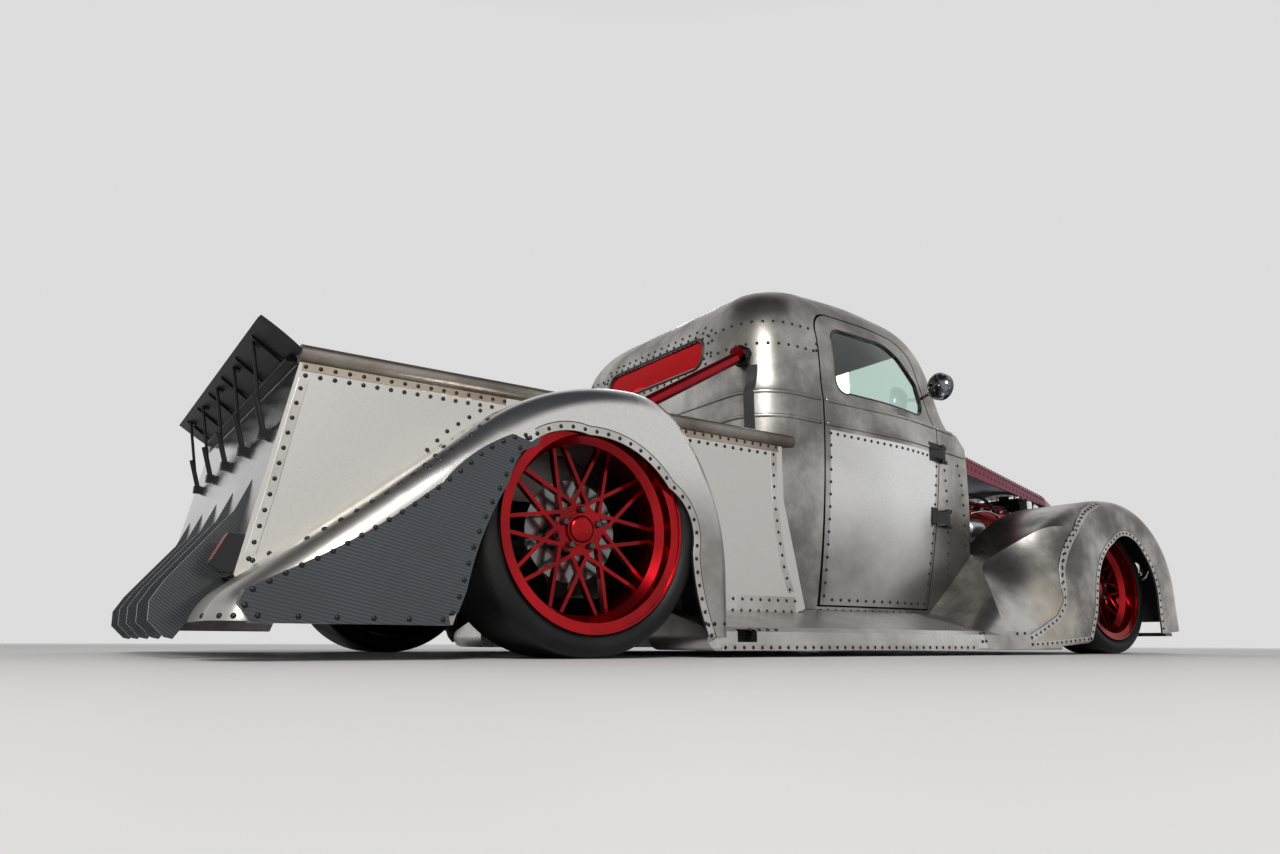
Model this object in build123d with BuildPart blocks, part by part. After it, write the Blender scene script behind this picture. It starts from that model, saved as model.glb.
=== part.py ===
"""A lowered custom pickup truck with an open engine bay, mesh wheels and a finned tail.

Units are millimetres.  +X points forward, +Y to the left and +Z up.  The origin lies on
the ground under the middle of the bounding box.  Side view points are measured along X
from the rear axle and pass through fore(), which moves them to the truck's own frame.
"""
import os
from math import cos, radians, sin, tan

from build123d import *

os.makedirs("parts", exist_ok=True)

# Main sizes
REAR_AXLE_X = -1225.0
WHEELBASE = 2970.0
DRAWN_WHEELBASE = 2970.0         # what the side view was drawn for
CAB_ZONE = (510.0, 2262.0)       # the part of the side view that takes up another wheelbase
SKIN = 8.0            # sheet metal of fenders, bed and hood

# Wheels: tyre radius, rim lip radius, half width of the rim, centre plane from the middle,
# depth of the mesh face behind the lip, width of a mesh bar
REAR_WHEEL = dict(tyre=360.0, lip=297.0, half=155.0, track=806.0, dish=92.0, bar=11.0)
FRONT_WHEEL = dict(tyre=307.0, lip=243.0, half=108.0, track=754.0, dish=68.0, bar=9.0)
HUB_BACK = 4.0        # the hub's inner end, inboard of the wheel's centre plane
MESH_PAIRS = 10       # pairs of crossing bars in a wheel's face
MESH_HUB, MESH_RIM = 41.0, 4.0   # how far a bar leans at the hub and at the rim, in degrees
REAR_Z, FRONT_Z = REAR_WHEEL["tyre"], FRONT_WHEEL["tyre"]
TUB_R = REAR_WHEEL["tyre"] + 60
SPINDLE_R = 30.0
FIT = 0.05            # radial clearance of every running fit

# Steering
KINGPIN_Y = FRONT_WHEEL["track"] - 48
KINGPIN_R = 14.0

# Bed
BED_HALF = 709.0
BED_IN = BED_HALF - SKIN
BOARD_IN = BED_HALF - 64
BED_TOP = 813.0
BED_RAIL_LOW = 762.0
BED_FLOOR_Z = 600.0
BED_FRONT = 846.0     # front panel, from the rear axle
TAIL_TOP, TAIL_LOW = (-778.0, 762.0), (-879.0, 204.0)
FIN_Y = (-540.0, -270.0, 0.0, 270.0, 540.0)
STAY_Y = (-550.0, -275.0, 0.0, 275.0, 550.0)

# Fenders
REAR_FENDER_OUT = REAR_WHEEL["track"] + REAR_WHEEL["half"] + 18
FRONT_FENDER_OUT = FRONT_WHEEL["track"] + FRONT_WHEEL["half"] + 88
FRONT_FENDER_IN = FRONT_WHEEL["track"] - FRONT_WHEEL["half"] - 86
TUB_IN = REAR_WHEEL["track"] - REAR_WHEEL["half"] - 53
BOARD_LOW = 20.0

# Door hinge, from the rear axle and from the middle
HINGE_X, HINGE_Y = 1983.0, 692.0
HINGE_PIN, HINGE_BARREL = 4.5, 8.0
HINGE_Z = (552.0, 842.0)
HINGE_TALL = 52.0


def at(x):
    """A place in the side view, measured from the rear axle, in the truck's frame.

    Another wheelbase lengthens or shortens the cab, and moves all that lies ahead of it.
    """
    low, high = CAB_ZONE
    share = min(max((x - low) / (high - low), 0.0), 1.0)
    return x + REAR_AXLE_X + share * (WHEELBASE - DRAWN_WHEELBASE)


def fore(points):
    """Points measured from the rear axle, moved to the truck's frame."""
    return [(at(x), z) for x, z in points]


def trace(path):
    """Lines and arcs through a path: a pair is a line's end, two pairs are an arc."""
    here = start = path[0]
    for step in path[1:]:
        if isinstance(step[0], tuple):
            ThreePointArc(here, step[0], step[1])
            here = step[1]
        else:
            Line(here, step)
            here = step
    if here != start:
        Line(here, start)


def moved(path):
    """A path of lines and arcs, moved from the rear axle to the truck's frame."""
    return [tuple(fore(step)) if isinstance(step[0], tuple) else fore([step])[0] for step in path]


def side(path, near, far, mode=Mode.ADD):
    """A side view outline made solid between two distances right of the middle plane."""
    with BuildSketch(Plane.XZ.offset(near)) as outline:
        with BuildLine():
            trace(moved(path))
        make_face()
    extrude(outline.sketch, amount=far - near, mode=mode)


def block(x, y, z, mode=Mode.ADD):
    """A square block between pairs of limits, X from the rear axle."""
    with Locations(((at(x[0]) + at(x[1])) / 2, (y[0] + y[1]) / 2, (z[0] + z[1]) / 2)):
        Box(at(x[1]) - at(x[0]), y[1] - y[0], z[1] - z[0], mode=mode)


def rod(start, end, radius, mode=Mode.ADD):
    """A round bar between two points, X from the rear axle."""
    a = Vector(at(start[0]), start[1], start[2])
    b = Vector(at(end[0]), end[1], end[2])
    with BuildSketch(Plane(origin=a, z_dir=b - a)) as disc:
        Circle(radius)
    extrude(disc.sketch, amount=(b - a).length, mode=mode)


DEEP = -300.0


def crown_path(crown, cut=0.0):
    """A fender's crown in side view, a chain of tangent arcs closed far below its foot.

    The crown is its front point, where it stands upright, and then a row for each arc:
    radius, angle where the arc ends, and length of the straight that follows it.
    """
    x, z = crown[0][0] - cut, crown[0][1]
    angle, path = 0.0, [(x, DEEP), (x, z)]
    for radius, end, straight in crown[1:]:
        r, a, m, b = radius - cut, radians(angle), radians((angle + end) / 2), radians(end)
        cx, cz = x - r * cos(a), z - r * sin(a)
        x, z = cx + r * cos(b), cz + r * sin(b)
        path.append(((cx + r * cos(m), cz + r * sin(m)), (x, z)))
        if straight:
            x, z = x - straight * sin(b), z + straight * cos(b)
            path.append((x, z))
        angle = end
    path.append((x + (DEEP - z) / tan(radians(angle + 90)), DEEP))
    return path


def fender_mass(path, foot, near, far, radius):
    """A fender's form: a crown in side view, rounded along its outer edge, trimmed at its foot."""
    side(path, near, far)
    rims = [e for e in BuildPart._get_context().part.edges() if abs(e.center().Y + far) < 1]
    fillet([e for e in rims if e.center().Z > DEEP + 1], radius=radius)
    side(foot + [(foot[-1][0], 1200), (foot[0][0], 1200)], near, far, Mode.INTERSECT)


# Frame: two rails kicked up over the rear axle, cross members and outriggers
RAIL = [
    (-650, 430), (-470, 430), (-330, 480), (330, 480), (520, 130), (2260, 130), (2500, 215),
    (3290, 215), (3290, 315), (2490, 315), (2262, 230), (570, 230), (380, 580), (-380, 580),
    (-500, 530), (-650, 530),
]
CROSS = [(-645, -600, 440, 520), (640, 700, 150, 210), (1300, 1360, 150, 210),
         (2150, 2210, 150, 210), (3225, 3285, 225, 305)]
with BuildPart() as frame_rails:
    side(RAIL, 300, 360)
    mirror(about=Plane.XZ)
    for x0, x1, z0, z1 in CROSS:
        block((x0, x1), (-305, 305), (z0, z1))
    for x0 in (700, 1300, 1690):
        block((x0, x0 + 60), (-BOARD_IN, BOARD_IN), (100, 145))

# Cab: plan sections from the sill to the roof
# height, back, front, half width at the back, widest and at the front, corner radii
LOWER = [
    (150, 905, 2262, 628, 640, 560, 130, 45),
    (520, 872, 2268, 690, 700, 610, 175, 45),
    (985, 863, 2262, 716, 727, 622, 185, 45),
]
UPPER = [
    (985, 863, 2145, 716, 727, 640, 185, 70),
    (1250, 885, 2018, 694, 702, 626, 185, 70),
    (1400, 945, 1938, 640, 652, 590, 180, 80),
    (1500, 1070, 1850, 540, 552, 500, 170, 90),
    (1560, 1300, 1690, 366, 372, 350, 70, 60),
]
WIDEST = 0.60         # where the cab is widest, as a share of its length from the back
WALL = 20.0


def plan(section, cut):
    """One plan section of the cab, with its corners rounded, inset by the wall."""
    z, back, front, w_back, w_mid, w_front, r_back, r_front = section
    back, front = at(back) + cut, at(front) - cut
    mid = back + WIDEST * (front - back)
    w_back, w_mid, w_front = w_back - cut, w_mid - cut, w_front - cut
    z = z - cut if z > 1550 and cut else z
    points = [(back, -w_back), (mid, -w_mid), (front, -w_front),
              (front, w_front), (mid, w_mid), (back, w_back)]
    with BuildSketch(Plane.XY.offset(z)) as outline:
        with BuildLine():
            Polyline(*points, close=True)
        make_face()
        corners = outline.vertices()
        fillet([v for v in corners if abs(v.X - back) < 1], radius=r_back - cut)
        fillet([v for v in outline.vertices() if abs(v.X - mid) < 1], radius=1.1 * (front - back))
        fillet([v for v in outline.vertices() if abs(v.X - front) < 1], radius=max(r_front - cut, 12))
    return outline.sketch.face()


COWL_SLOPE = [(2130, 1003), (2290, 893)]


def cab_mass(cut):
    """The cab's outside, or with a cut its hollow, under the cowl's sloping top."""
    with BuildPart() as mass:
        loft([plan(s, cut) for s in LOWER])
        loft([plan(s, cut) for s in UPPER])
        (x0, z0), (x1, z1) = [(x, z - 1.2 * cut) for x, z in COWL_SLOPE]
        side([(x0, z0), (x1, z1), (x1 + 100, z1), (x1 + 100, 1200), (x0, 1200)], -900, 900, Mode.SUBTRACT)
    return mass.part


DOOR_OPENING = [
    (1195, 180), (1195, 1262), ((1222, 1350), (1300, 1385)), (1690, 1374), ((1790, 1352), (1858, 1294)),
    (1968, 1000), (1971, 821), (1893, 274), (1882, 180),
]
DOOR_EDGE = [
    (1210, 187), (1203, 700), (1203, 1262), ((1229, 1343), (1302, 1378)), (1690, 1367),
    ((1785, 1346), (1851, 1291)), (1961, 998), (1964, 821), (1886, 274), (1875, 187),
]
DOOR_WINDOW = [
    (1290, 1080), (1290, 1255), ((1308, 1298), (1355, 1313)), (1539, 1309), ((1680, 1298), (1747, 1268)),
    (1863, 1173), (1889, 1088), ((1870, 1045), (1830, 1031)), (1360, 1038), ((1310, 1045), (1290, 1080)),
]
REAR_WINDOW = (350.0, 1162.0, 1282.0, 45.0)
SCREEN = [(-565, 1020), (-28, 1020), (-28, 1372), (-520, 1372)]

cab_outside = cab_mass(0)
cab_hollow = cab_mass(WALL)

def plate(points, low, high, mode=Mode.ADD):
    """A plan outline of points made solid between two heights, X from the rear axle."""
    with BuildSketch(Plane.XY.offset(low)) as outline:
        with BuildLine():
            Polyline(*fore(points), close=True)
        make_face()
    extrude(outline.sketch, amount=high - low, mode=mode)


DOOR_LEAF = [(HINGE_X, -HINGE_Y - 5), (HINGE_X, -HINGE_Y + 4), (1925, -674), (1918, -640),
             (1888, -640), (1888, -683)]
BODY_LEAF = [(HINGE_X, -HINGE_Y - 5), (HINGE_X, -HINGE_Y + 4), (2000, -640), (2046, -630), (2046, -668)]

with BuildPart() as cab_shell:
    for z in HINGE_Z:
        for low in (z - 13, z + HINGE_TALL + 1):
            plate(BODY_LEAF, low, low + 12)
            rod((HINGE_X, -HINGE_Y, low), (HINGE_X, -HINGE_Y, low + 12), HINGE_BARREL)
        rod((HINGE_X, -HINGE_Y, z - 13), (HINGE_X, -HINGE_Y, z + HINGE_TALL + 13), HINGE_PIN)
    mirror(about=Plane.XZ)
    add(cab_outside)
    add(cab_hollow, mode=Mode.SUBTRACT)
    block((850, 2220), (-600, 600), (100, 230), Mode.SUBTRACT)
    side([(1979, 100), (1979, 182), (2229, 404), (2400, 404), (2400, 100)], -900, 900, Mode.SUBTRACT)
    side(DOOR_OPENING, 560, 900, Mode.SUBTRACT)
    side(DOOR_OPENING, -900, -560, Mode.SUBTRACT)
    half, low, high, radius = REAR_WINDOW
    with BuildSketch(Plane.YZ.offset(at(800))) as pane:
        with Locations((0, (low + high) / 2)):
            RectangleRounded(2 * half, high - low, radius)
    extrude(pane.sketch, amount=200, mode=Mode.SUBTRACT)
    with BuildSketch(Plane.YZ.offset(at(1900))) as pane:
        with BuildLine():
            Polyline(*SCREEN, close=True)
        make_face()
        fillet(pane.vertices(), radius=24)
        mirror(about=Plane.YZ)
    extrude(pane.sketch, amount=330, mode=Mode.SUBTRACT)

with BuildPart() as cab_floor:
    add(cab_hollow)
    block((800, 2300), (-800, 800), (230, 242), Mode.INTERSECT)

# Glass of the cab
with BuildPart() as windscreen_glass:
    with BuildSketch(Plane.YZ.offset(at(1880))) as pane:
        with BuildLine():
            Polyline(*SCREEN, close=True)
        make_face()
        fillet(pane.vertices(), radius=24)
        mirror(about=Plane.YZ)
    extrude(pane.sketch, amount=360)
    add(cab_mass(7.0), mode=Mode.INTERSECT)
    add(cab_mass(13.0), mode=Mode.SUBTRACT)

with BuildPart() as rear_window_glass:
    half, low, high, radius = REAR_WINDOW
    with BuildSketch(Plane.YZ.offset(at(830))) as pane:
        with Locations((0, (low + high) / 2)):
            RectangleRounded(2 * half, high - low, radius)
    extrude(pane.sketch, amount=120)
    add(cab_mass(7.0), mode=Mode.INTERSECT)
    add(cab_mass(13.0), mode=Mode.SUBTRACT)

# Cab interior; the bench stays sharp at its crease and at its back's rear top edge
SEAT_BACK_TOP, SEAT_CREASE = (960, 900), (1180, 520)
with BuildPart() as seats:
    with BuildSketch(Plane.XZ.offset(-560)) as cushion:
        with BuildLine():
            Polyline(*fore([(1060, 430), SEAT_BACK_TOP, (1060, 925), SEAT_CREASE, (1560, 540),
                            (1590, 440), (1560, 300), (1130, 242), (1060, 242)]), close=True)
        make_face()
        sharp = fore([SEAT_BACK_TOP, SEAT_CREASE])
        soft = cushion.vertices().filter_by(lambda v: all(abs(v.X - x) + abs(v.Y - z) > 1 for x, z in sharp))
        fillet(soft, radius=28)
    extrude(cushion.sketch, amount=540)
    mirror(about=Plane.XZ)

with BuildPart() as dashboard:
    side([(2010, 900), (2060, 960), (2300, 960), (2300, 820), (2130, 800), (2060, 700), (2010, 760)],
         -620, 620)
    add(cab_hollow, mode=Mode.INTERSECT)
    rod((2060, 370, 830), (1819.3, 370, 899.4), 20)

with BuildPart() as steering_wheel:
    column = Plane(origin=(at(1800), 370, 905), z_dir=(-260, 0, 75))
    with BuildPart(column) as wheel_ring:
        Torus(185, 14)
        Cylinder(34, 40)
        for turn in (90, 210, 330):
            with Locations(Rotation(0, 0, turn) * Location((100, 0, 0))):
                Box(170, 26, 8)

# Doors: the cab's skin inside the door's edge, with its window, on two outside hinges
MIRROR = (1905.0, 1150.0, 61.0)

with BuildPart() as door_right:
    add(cab_outside)
    side(DOOR_EDGE, 500, 800, Mode.INTERSECT)
    for z in HINGE_Z:
        plate(DOOR_LEAF, z, z + HINGE_TALL)
        rod((HINGE_X, -HINGE_Y, z), (HINGE_X, -HINGE_Y, z + HINGE_TALL), HINGE_BARREL)
        rod((HINGE_X, -HINGE_Y, z), (HINGE_X, -HINGE_Y, z + HINGE_TALL), HINGE_PIN + FIT, Mode.SUBTRACT)
    add(cab_hollow, mode=Mode.SUBTRACT)
    side(DOOR_WINDOW, 500, 900, Mode.SUBTRACT)

with BuildPart() as door_glass_right:
    side(DOOR_WINDOW, 560, 800)
    add(cab_mass(7.0), mode=Mode.INTERSECT)
    add(cab_mass(13.0), mode=Mode.SUBTRACT)

with BuildPart() as mirror_right:
    x, z, r = MIRROR
    rod((x - 6, -640, z - 40), (x + 4, -748, z), 7)
    rod((x + 12, -760, z), (x - 12, -760, z), r)
    add(cab_outside, mode=Mode.SUBTRACT)

# Fenders of the front: crown in side view, from the tail to the nose
FRONT_CROWN = [(3464, 300), (402.8, 48.1, 0), (485, 90, 0), (1137, 127.2, 0)]
FRONT_FOOT = [(1690, 22), (2157, 24), (3440, 110), (3456, 200), (3470, 210)]
FRONT_ARCH = [(2490, -10), (2520, 44), (2577, 62), (2645, 176), (2677, 273), ((2735, 405), (2863, 504)),
              ((3010, 546), (3140, 470)), ((3200, 390), (3224, 239)), (3215, -10)]
# The fender's tail sweeps out to the board: a flared form turned about a cross axis takes
# its shoulder away.  Rows are distance from the middle plane and radius about that axis.
SWEEP_AXIS = (2000.0, 640.0)
OUT = FRONT_FENDER_OUT
SWEEP = [(OUT - 260, 306), (OUT - 100, 384), (OUT + 10, 612)]
BOARD = [(-BOARD_IN, BOARD_LOW), (8 - OUT, BOARD_LOW), (-OUT, BOARD_LOW + 8), (-OUT, 78), (20 - OUT, 92),
         (-BOARD_IN - 17, 165), (-BOARD_IN, 165)]
BOARD_BACK, BOARD_FRONT = 400.0, 2330.0
JOINT = [(1728, 180), (1815, 0), (2600, 0), (2600, 180)]   # where the board meets the fender


def board_mass():
    """The running board's section, from its back end to where the side panel takes it in."""
    with BuildPart() as mass:
        with BuildSketch(Plane.YZ.offset(at(BOARD_BACK))):
            with BuildLine():
                Polyline(*BOARD, close=True)
            make_face()
        extrude(amount=at(BOARD_FRONT) - at(BOARD_BACK))
        low_back = edges().group_by(Axis.X)[0].group_by(Axis.Z)[0]
        fillet(low_back, radius=45)
    return mass.part


def sweep_away(cut):
    """The flared form beside the fender's tail, larger by a cut."""
    (y0, r0), (y1, r1), (y2, r2) = SWEEP
    x, z = at(SWEEP_AXIS[0]), SWEEP_AXIS[1]
    with BuildPart() as flare:
        with BuildSketch(Plane((x, 0, z), x_dir=(0, -1, 0), z_dir=(1, 0, 0))):
            with BuildLine():
                Line((y0, 0), (y0, r0 + cut))
                ThreePointArc((y0, r0 + cut), (y1, r1 + cut), (y2, r2 + cut))
                Line((y2, r2 + cut), (y2, 0))
                Line((y2, 0), (y0, 0))
            make_face()
        revolve(axis=Axis((x, 0, z), (0, 1, 0)))
    return flare.part


with BuildPart() as front_form:
    fender_mass(crown_path(FRONT_CROWN), FRONT_FOOT, FRONT_FENDER_IN - SKIN, FRONT_FENDER_OUT, 95)
    add(sweep_away(0), mode=Mode.SUBTRACT)
    add(cab_mass(-1.0), mode=Mode.SUBTRACT)

with BuildPart() as front_hollow:
    fender_mass(crown_path(FRONT_CROWN, SKIN), [(1700, -20), (3456 - SKIN, -20)],
                FRONT_FENDER_IN, FRONT_FENDER_OUT - SKIN, 95 - SKIN)
    add(sweep_away(SKIN), mode=Mode.SUBTRACT)

with BuildPart() as front_fenders:
    add(front_form.part)
    add(front_hollow.part, mode=Mode.SUBTRACT)
    add(board_mass())
    side([(300, -10), (300, 200), JOINT[0], JOINT[1]], 500, OUT + 50, Mode.SUBTRACT)
    side(FRONT_ARCH, FRONT_FENDER_OUT - 60, FRONT_FENDER_OUT + 20, Mode.SUBTRACT)
    block((1600, 3470), (-FRONT_FENDER_IN - 2, 60 - FRONT_FENDER_IN), (-10, 150), Mode.SUBTRACT)
    block((2780, 3160), (-FRONT_FENDER_IN - 2, 60 - FRONT_FENDER_IN), (-10, 420), Mode.SUBTRACT)
    block((2262, 2400), (-BOARD_IN - 15, 5 - BOARD_IN), (0, 170), Mode.SUBTRACT)
    mirror(about=Plane.XZ)

# Running boards: a sloped top, rounded at the back, with an exhaust outlet in the outer face
with BuildPart() as running_boards:
    add(board_mass())
    side(JOINT, 500, OUT + 50, Mode.SUBTRACT)
    block((520, 600), (-OUT - 10, 50 - OUT), (46, 84), Mode.SUBTRACT)
    mirror(about=Plane.XZ)

# Fenders of the rear: crown in side view, from the tail over the wheel to the board
REAR_CROWN = [(500, 250), (680.6, 41.4, 0), (263, 90, 0), (756, 128.6, 745.3), (135, 180, 0)]
REAR_ROUND = 90.0
REAR_FOOT = [(-980, 86), (-440, 84), (460, 60), (510, 60)]
REAR_ARCH = [(401, -10), (395, 40), ((338, 210), (327, 305)), ((300, 440), (240, 490)), ((110, 590), (-40, 614)),
             ((-190, 592), (-290, 450)), ((-365, 280), (-392, 167)), (-414, 107), (-450, -10)]
SKIRT = [(-902, 152), (-912, 123), (-884, 82), (-430, 82), ((-340, 460), (-200, 560)), (-285, 581),
         ((-350, 545), (-471, 431)), (-593, 333), ((-700, 262), (-818, 197))]
with BuildPart() as bed_rails:
    with BuildSketch(Plane.YZ.offset(at(TAIL_TOP[0]))) as rail:
        with Locations((-BED_HALF + 12, (BED_RAIL_LOW + BED_TOP) / 2)):
            RectangleRounded(56, BED_TOP - BED_RAIL_LOW, 24)
    extrude(rail.sketch, amount=at(1028) - at(TAIL_TOP[0]))
    add(cab_mass(-1.0), mode=Mode.SUBTRACT)
    mirror(about=Plane.XZ)

with BuildPart() as rear_form:
    fender_mass(crown_path(REAR_CROWN), REAR_FOOT, BED_HALF, REAR_FENDER_OUT, REAR_ROUND)
    add(running_boards.part, mode=Mode.SUBTRACT)
    add(bed_rails.part, mode=Mode.SUBTRACT)

with BuildPart() as rear_hollow:
    fender_mass(crown_path(REAR_CROWN, SKIN), [(-975, -20), (505, -20)],
                BED_HALF - 1, REAR_FENDER_OUT - SKIN, REAR_ROUND - SKIN)

with BuildPart() as rear_fenders:
    add(rear_form.part)
    add(rear_hollow.part, mode=Mode.SUBTRACT)
    side(REAR_ARCH, REAR_FENDER_OUT - 90, REAR_FENDER_OUT + 20, Mode.SUBTRACT)
    mirror(about=Plane.XZ)

with BuildPart() as rear_skirts:
    side(SKIRT, REAR_FENDER_OUT - 40, REAR_FENDER_OUT + SKIN)
    add(rear_form.part, mode=Mode.SUBTRACT)
    side(REAR_ARCH, REAR_FENDER_OUT - 90, REAR_FENDER_OUT + 20, Mode.SUBTRACT)
    mirror(about=Plane.XZ)

# Bed
BED_SIDE = [TAIL_TOP, TAIL_LOW, (-862, 150), (1020, 150), (1060, 166), (971, 560), (971, 762)]
with BuildPart() as bed_sides:
    side(BED_SIDE, BED_HALF - SKIN, BED_HALF)
    add(cab_mass(-1.0), mode=Mode.SUBTRACT)
    rod((0, -BED_HALF - 40, REAR_Z), (0, 60 - BED_HALF, REAR_Z), REAR_WHEEL["tyre"] + 50, Mode.SUBTRACT)
    block((-410, 410), (-BED_HALF - 40, 60 - BED_HALF), (100, 360), Mode.SUBTRACT)
    add(running_boards.part, mode=Mode.SUBTRACT)
    mirror(about=Plane.XZ)

with BuildPart() as bed_floor:
    block((-765, BED_FRONT), (-BED_IN, BED_IN), (BED_FLOOR_Z, BED_FLOOR_Z + 10))
    for x in (-700, -450, 450, 700):
        block((x, x + 40), (-BED_IN, BED_IN), (BED_FLOOR_Z - 20, BED_FLOOR_Z))
    for y in (-560, -400, -240, -80, 80, 240, 400, 560):
        block((-765, BED_FRONT), (y - 12, y + 12), (BED_FLOOR_Z + 9, BED_FLOOR_Z + 16))
    for s in (-1, 1):
        rod((0, s * TUB_IN, REAR_Z), (0, s * BED_IN, REAR_Z), TUB_R, Mode.SUBTRACT)

with BuildPart() as wheel_tubs:
    rod((0, -TUB_IN, REAR_Z), (0, -BED_IN, REAR_Z), TUB_R)
    rod((0, -TUB_IN - SKIN, REAR_Z), (0, -BED_IN - 1, REAR_Z), TUB_R - SKIN, Mode.SUBTRACT)
    block((-500, 500), (-800, -400), (-100, 470), Mode.SUBTRACT)
    block((-500, 500), (-800, -400), (BED_RAIL_LOW, 900), Mode.SUBTRACT)
    mirror(about=Plane.XZ)

with BuildPart() as bed_front_panel:
    block((BED_FRONT, BED_FRONT + 12), (-BED_IN, BED_IN), (260, BED_RAIL_LOW))
    block((BED_FRONT - 8, BED_FRONT + 14), (43 - BED_HALF, BED_HALF - 43), (BED_RAIL_LOW, BED_TOP))

# Tail: leaning tailgate, wing on thin stays, long fins and lamps
LEAN = (TAIL_LOW[0] - TAIL_TOP[0]) / (TAIL_TOP[1] - TAIL_LOW[1])


def tail_x(z):
    """Where the tailgate's outer face lies at a height."""
    return TAIL_TOP[0] + LEAN * (TAIL_TOP[1] - z)


with BuildPart() as tailgate:
    side([(tail_x(762), 762), (tail_x(200), 200), (tail_x(200) + 10, 198), (tail_x(762) + 10, 762)],
         -BED_IN, BED_IN)
    side([(tail_x(762) - 2, 762), (tail_x(762) + 30, 762), (tail_x(762) + 30, 790), (tail_x(790) + 4, 790)],
         -BED_HALF + 42, BED_HALF - 42)
    for z in (230, 590, 740):
        side([(tail_x(z) + 9, z), (tail_x(z) + 40, z), (tail_x(z) + 40, z + 20), (tail_x(z + 20) + 9, z + 20)],
             6 - BED_IN, BED_IN - 6)

WING = [(-779, 790), (-772, 797), ((-830, 838), (-886, 871)), (-893, 862), ((-832, 822), (-779, 790))]
with BuildPart() as rear_wing:
    side(WING, -BED_HALF, BED_HALF)
    for i in range(-3, 3):
        y = (i + 0.5) * (BED_HALF - 19) / 3
        side([(-790, 791), (-800, 790), (-880, 846), (-884, 857), (-830, 822)], y - 4, y + 4)
    side([(-782, 792), (-800, 790), (-800, 780), (-770, 780), (-772, 796)], 69 - BED_HALF, BED_HALF - 69)
    add(tailgate.part, mode=Mode.SUBTRACT)
    add(bed_rails.part, mode=Mode.SUBTRACT)

with BuildPart() as wing_stays:
    for y in STAY_Y:
        rod((tail_x(590) - 14, y, 590), (-872, y, 846), 5)
        rod((tail_x(590) - 12, y, 602), (-852, y, 700), 8)
        block((tail_x(590) - 24, tail_x(590) + 1), (y - 14, y + 14), (578, 604))
        rod((-858, y - 16, 842), (-858, y + 16, 842), 9)
    add(rear_wing.part, mode=Mode.SUBTRACT)
    add(tailgate.part, mode=Mode.SUBTRACT)

FIN = [(tail_x(470) + 1, 470), (-868, 377), ((-945, 275), (-1008, 190)), (-1035, 140), (-1033, 92),
       (-992, 52), (-973, 48), (-951, 82), (-908, 122), (-760, 150), (-560, 172), (-560, 190), (tail_x(200) + 1, 199)]
with BuildPart() as diffuser:
    for y in FIN_Y:
        side(FIN, y - 6, y + 6)
    side([(-560, 172), (-760, 150), (-908, 122), (-920, 132), (-880, 190), (-560, 182)],
         109 - BED_HALF, BED_HALF - 109)
    add(tailgate.part, mode=Mode.SUBTRACT)

with BuildPart() as tail_lamps:
    side([(tail_x(298), 298), (-902, 300), (-936, 226), (-907, 206), (tail_x(206), 206)],
         BED_HALF - 54, BED_HALF - 2)
    add(tailgate.part, mode=Mode.SUBTRACT)
    mirror(about=Plane.XZ)

# Cab braces: a tube on each side from the cab's back down to the wheel tub
with BuildPart() as down_tubes:
    rod((900, -608, 1151), (100, -608, 681), 24)
    rod((874, -608, 1136), (852, -608, 1123), 42)
    add(cab_mass(-0.3), mode=Mode.SUBTRACT)
    rod((0, 38 - TUB_IN, REAR_Z), (0, -BED_IN, REAR_Z), TUB_R, Mode.SUBTRACT)
    mirror(about=Plane.XZ)

# Hood: a crowned lid with deep side flanges; X, edge half width, edge height, crown, flange
HOOD_REAR = (2275.0, 600.0, 918.0, 80.0, 96.0)
HOOD_NOSE = (3292.0, 392.0, 846.0, 74.0, 62.0)


def hood_section(row, cut):
    """A cross section of the hood: upright flanges, small corners and an arched crown."""
    x, half, edge, crown, flange = row
    with BuildSketch(Plane.YZ.offset(at(x))) as outline:
        with BuildLine():
            low = edge - flange - (40 if cut else 0)
            Line((-half + cut, low), (half - cut, low))
            Line((half - cut, low), (half - cut, edge - 26))
            ThreePointArc((half - cut, edge - 26), (half - 8 - cut * 0.8, edge - 7 - cut * 0.7),
                          (half - 28, edge + 1 - cut))
            ThreePointArc((half - 28, edge + 1 - cut), (0, edge + crown - cut), (28 - half, edge + 1 - cut))
            ThreePointArc((28 - half, edge + 1 - cut), (8 - half + cut * 0.8, edge - 7 - cut * 0.7),
                          (cut - half, edge - 26))
            Line((cut - half, edge - 26), (cut - half, low))
        make_face()
    return outline.sketch.face()


LID_X, LID_Z = 2262.0, 1008.0
LID_PIN, LID_EAR = 5.0, 11.0
LID_HINGE_Y = 130.0


def across(x, z, y, radius, mode=Mode.ADD):
    """A round bar along Y between two distances, X from the rear axle."""
    rod((x, y[0], z), (x, y[1], z), radius, mode)


with BuildPart() as hood_lid:
    loft([hood_section(HOOD_REAR, 0), hood_section(HOOD_NOSE, 0)])
    for y in (-LID_HINGE_Y, LID_HINGE_Y):
        across(LID_X, LID_Z, (y - 8, y + 8), LID_EAR)
        side([(LID_X, LID_Z + LID_EAR), (LID_X, LID_Z - LID_EAR), (2276, 985), (2330, 985), (2326, 994)],
             y - 8, y + 8)
    across(LID_X, LID_Z, (-LID_HINGE_Y - 9, LID_HINGE_Y + 9), LID_PIN + FIT, Mode.SUBTRACT)
    loft([hood_section(HOOD_REAR, SKIN), hood_section(HOOD_NOSE, SKIN)], mode=Mode.SUBTRACT)

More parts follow.
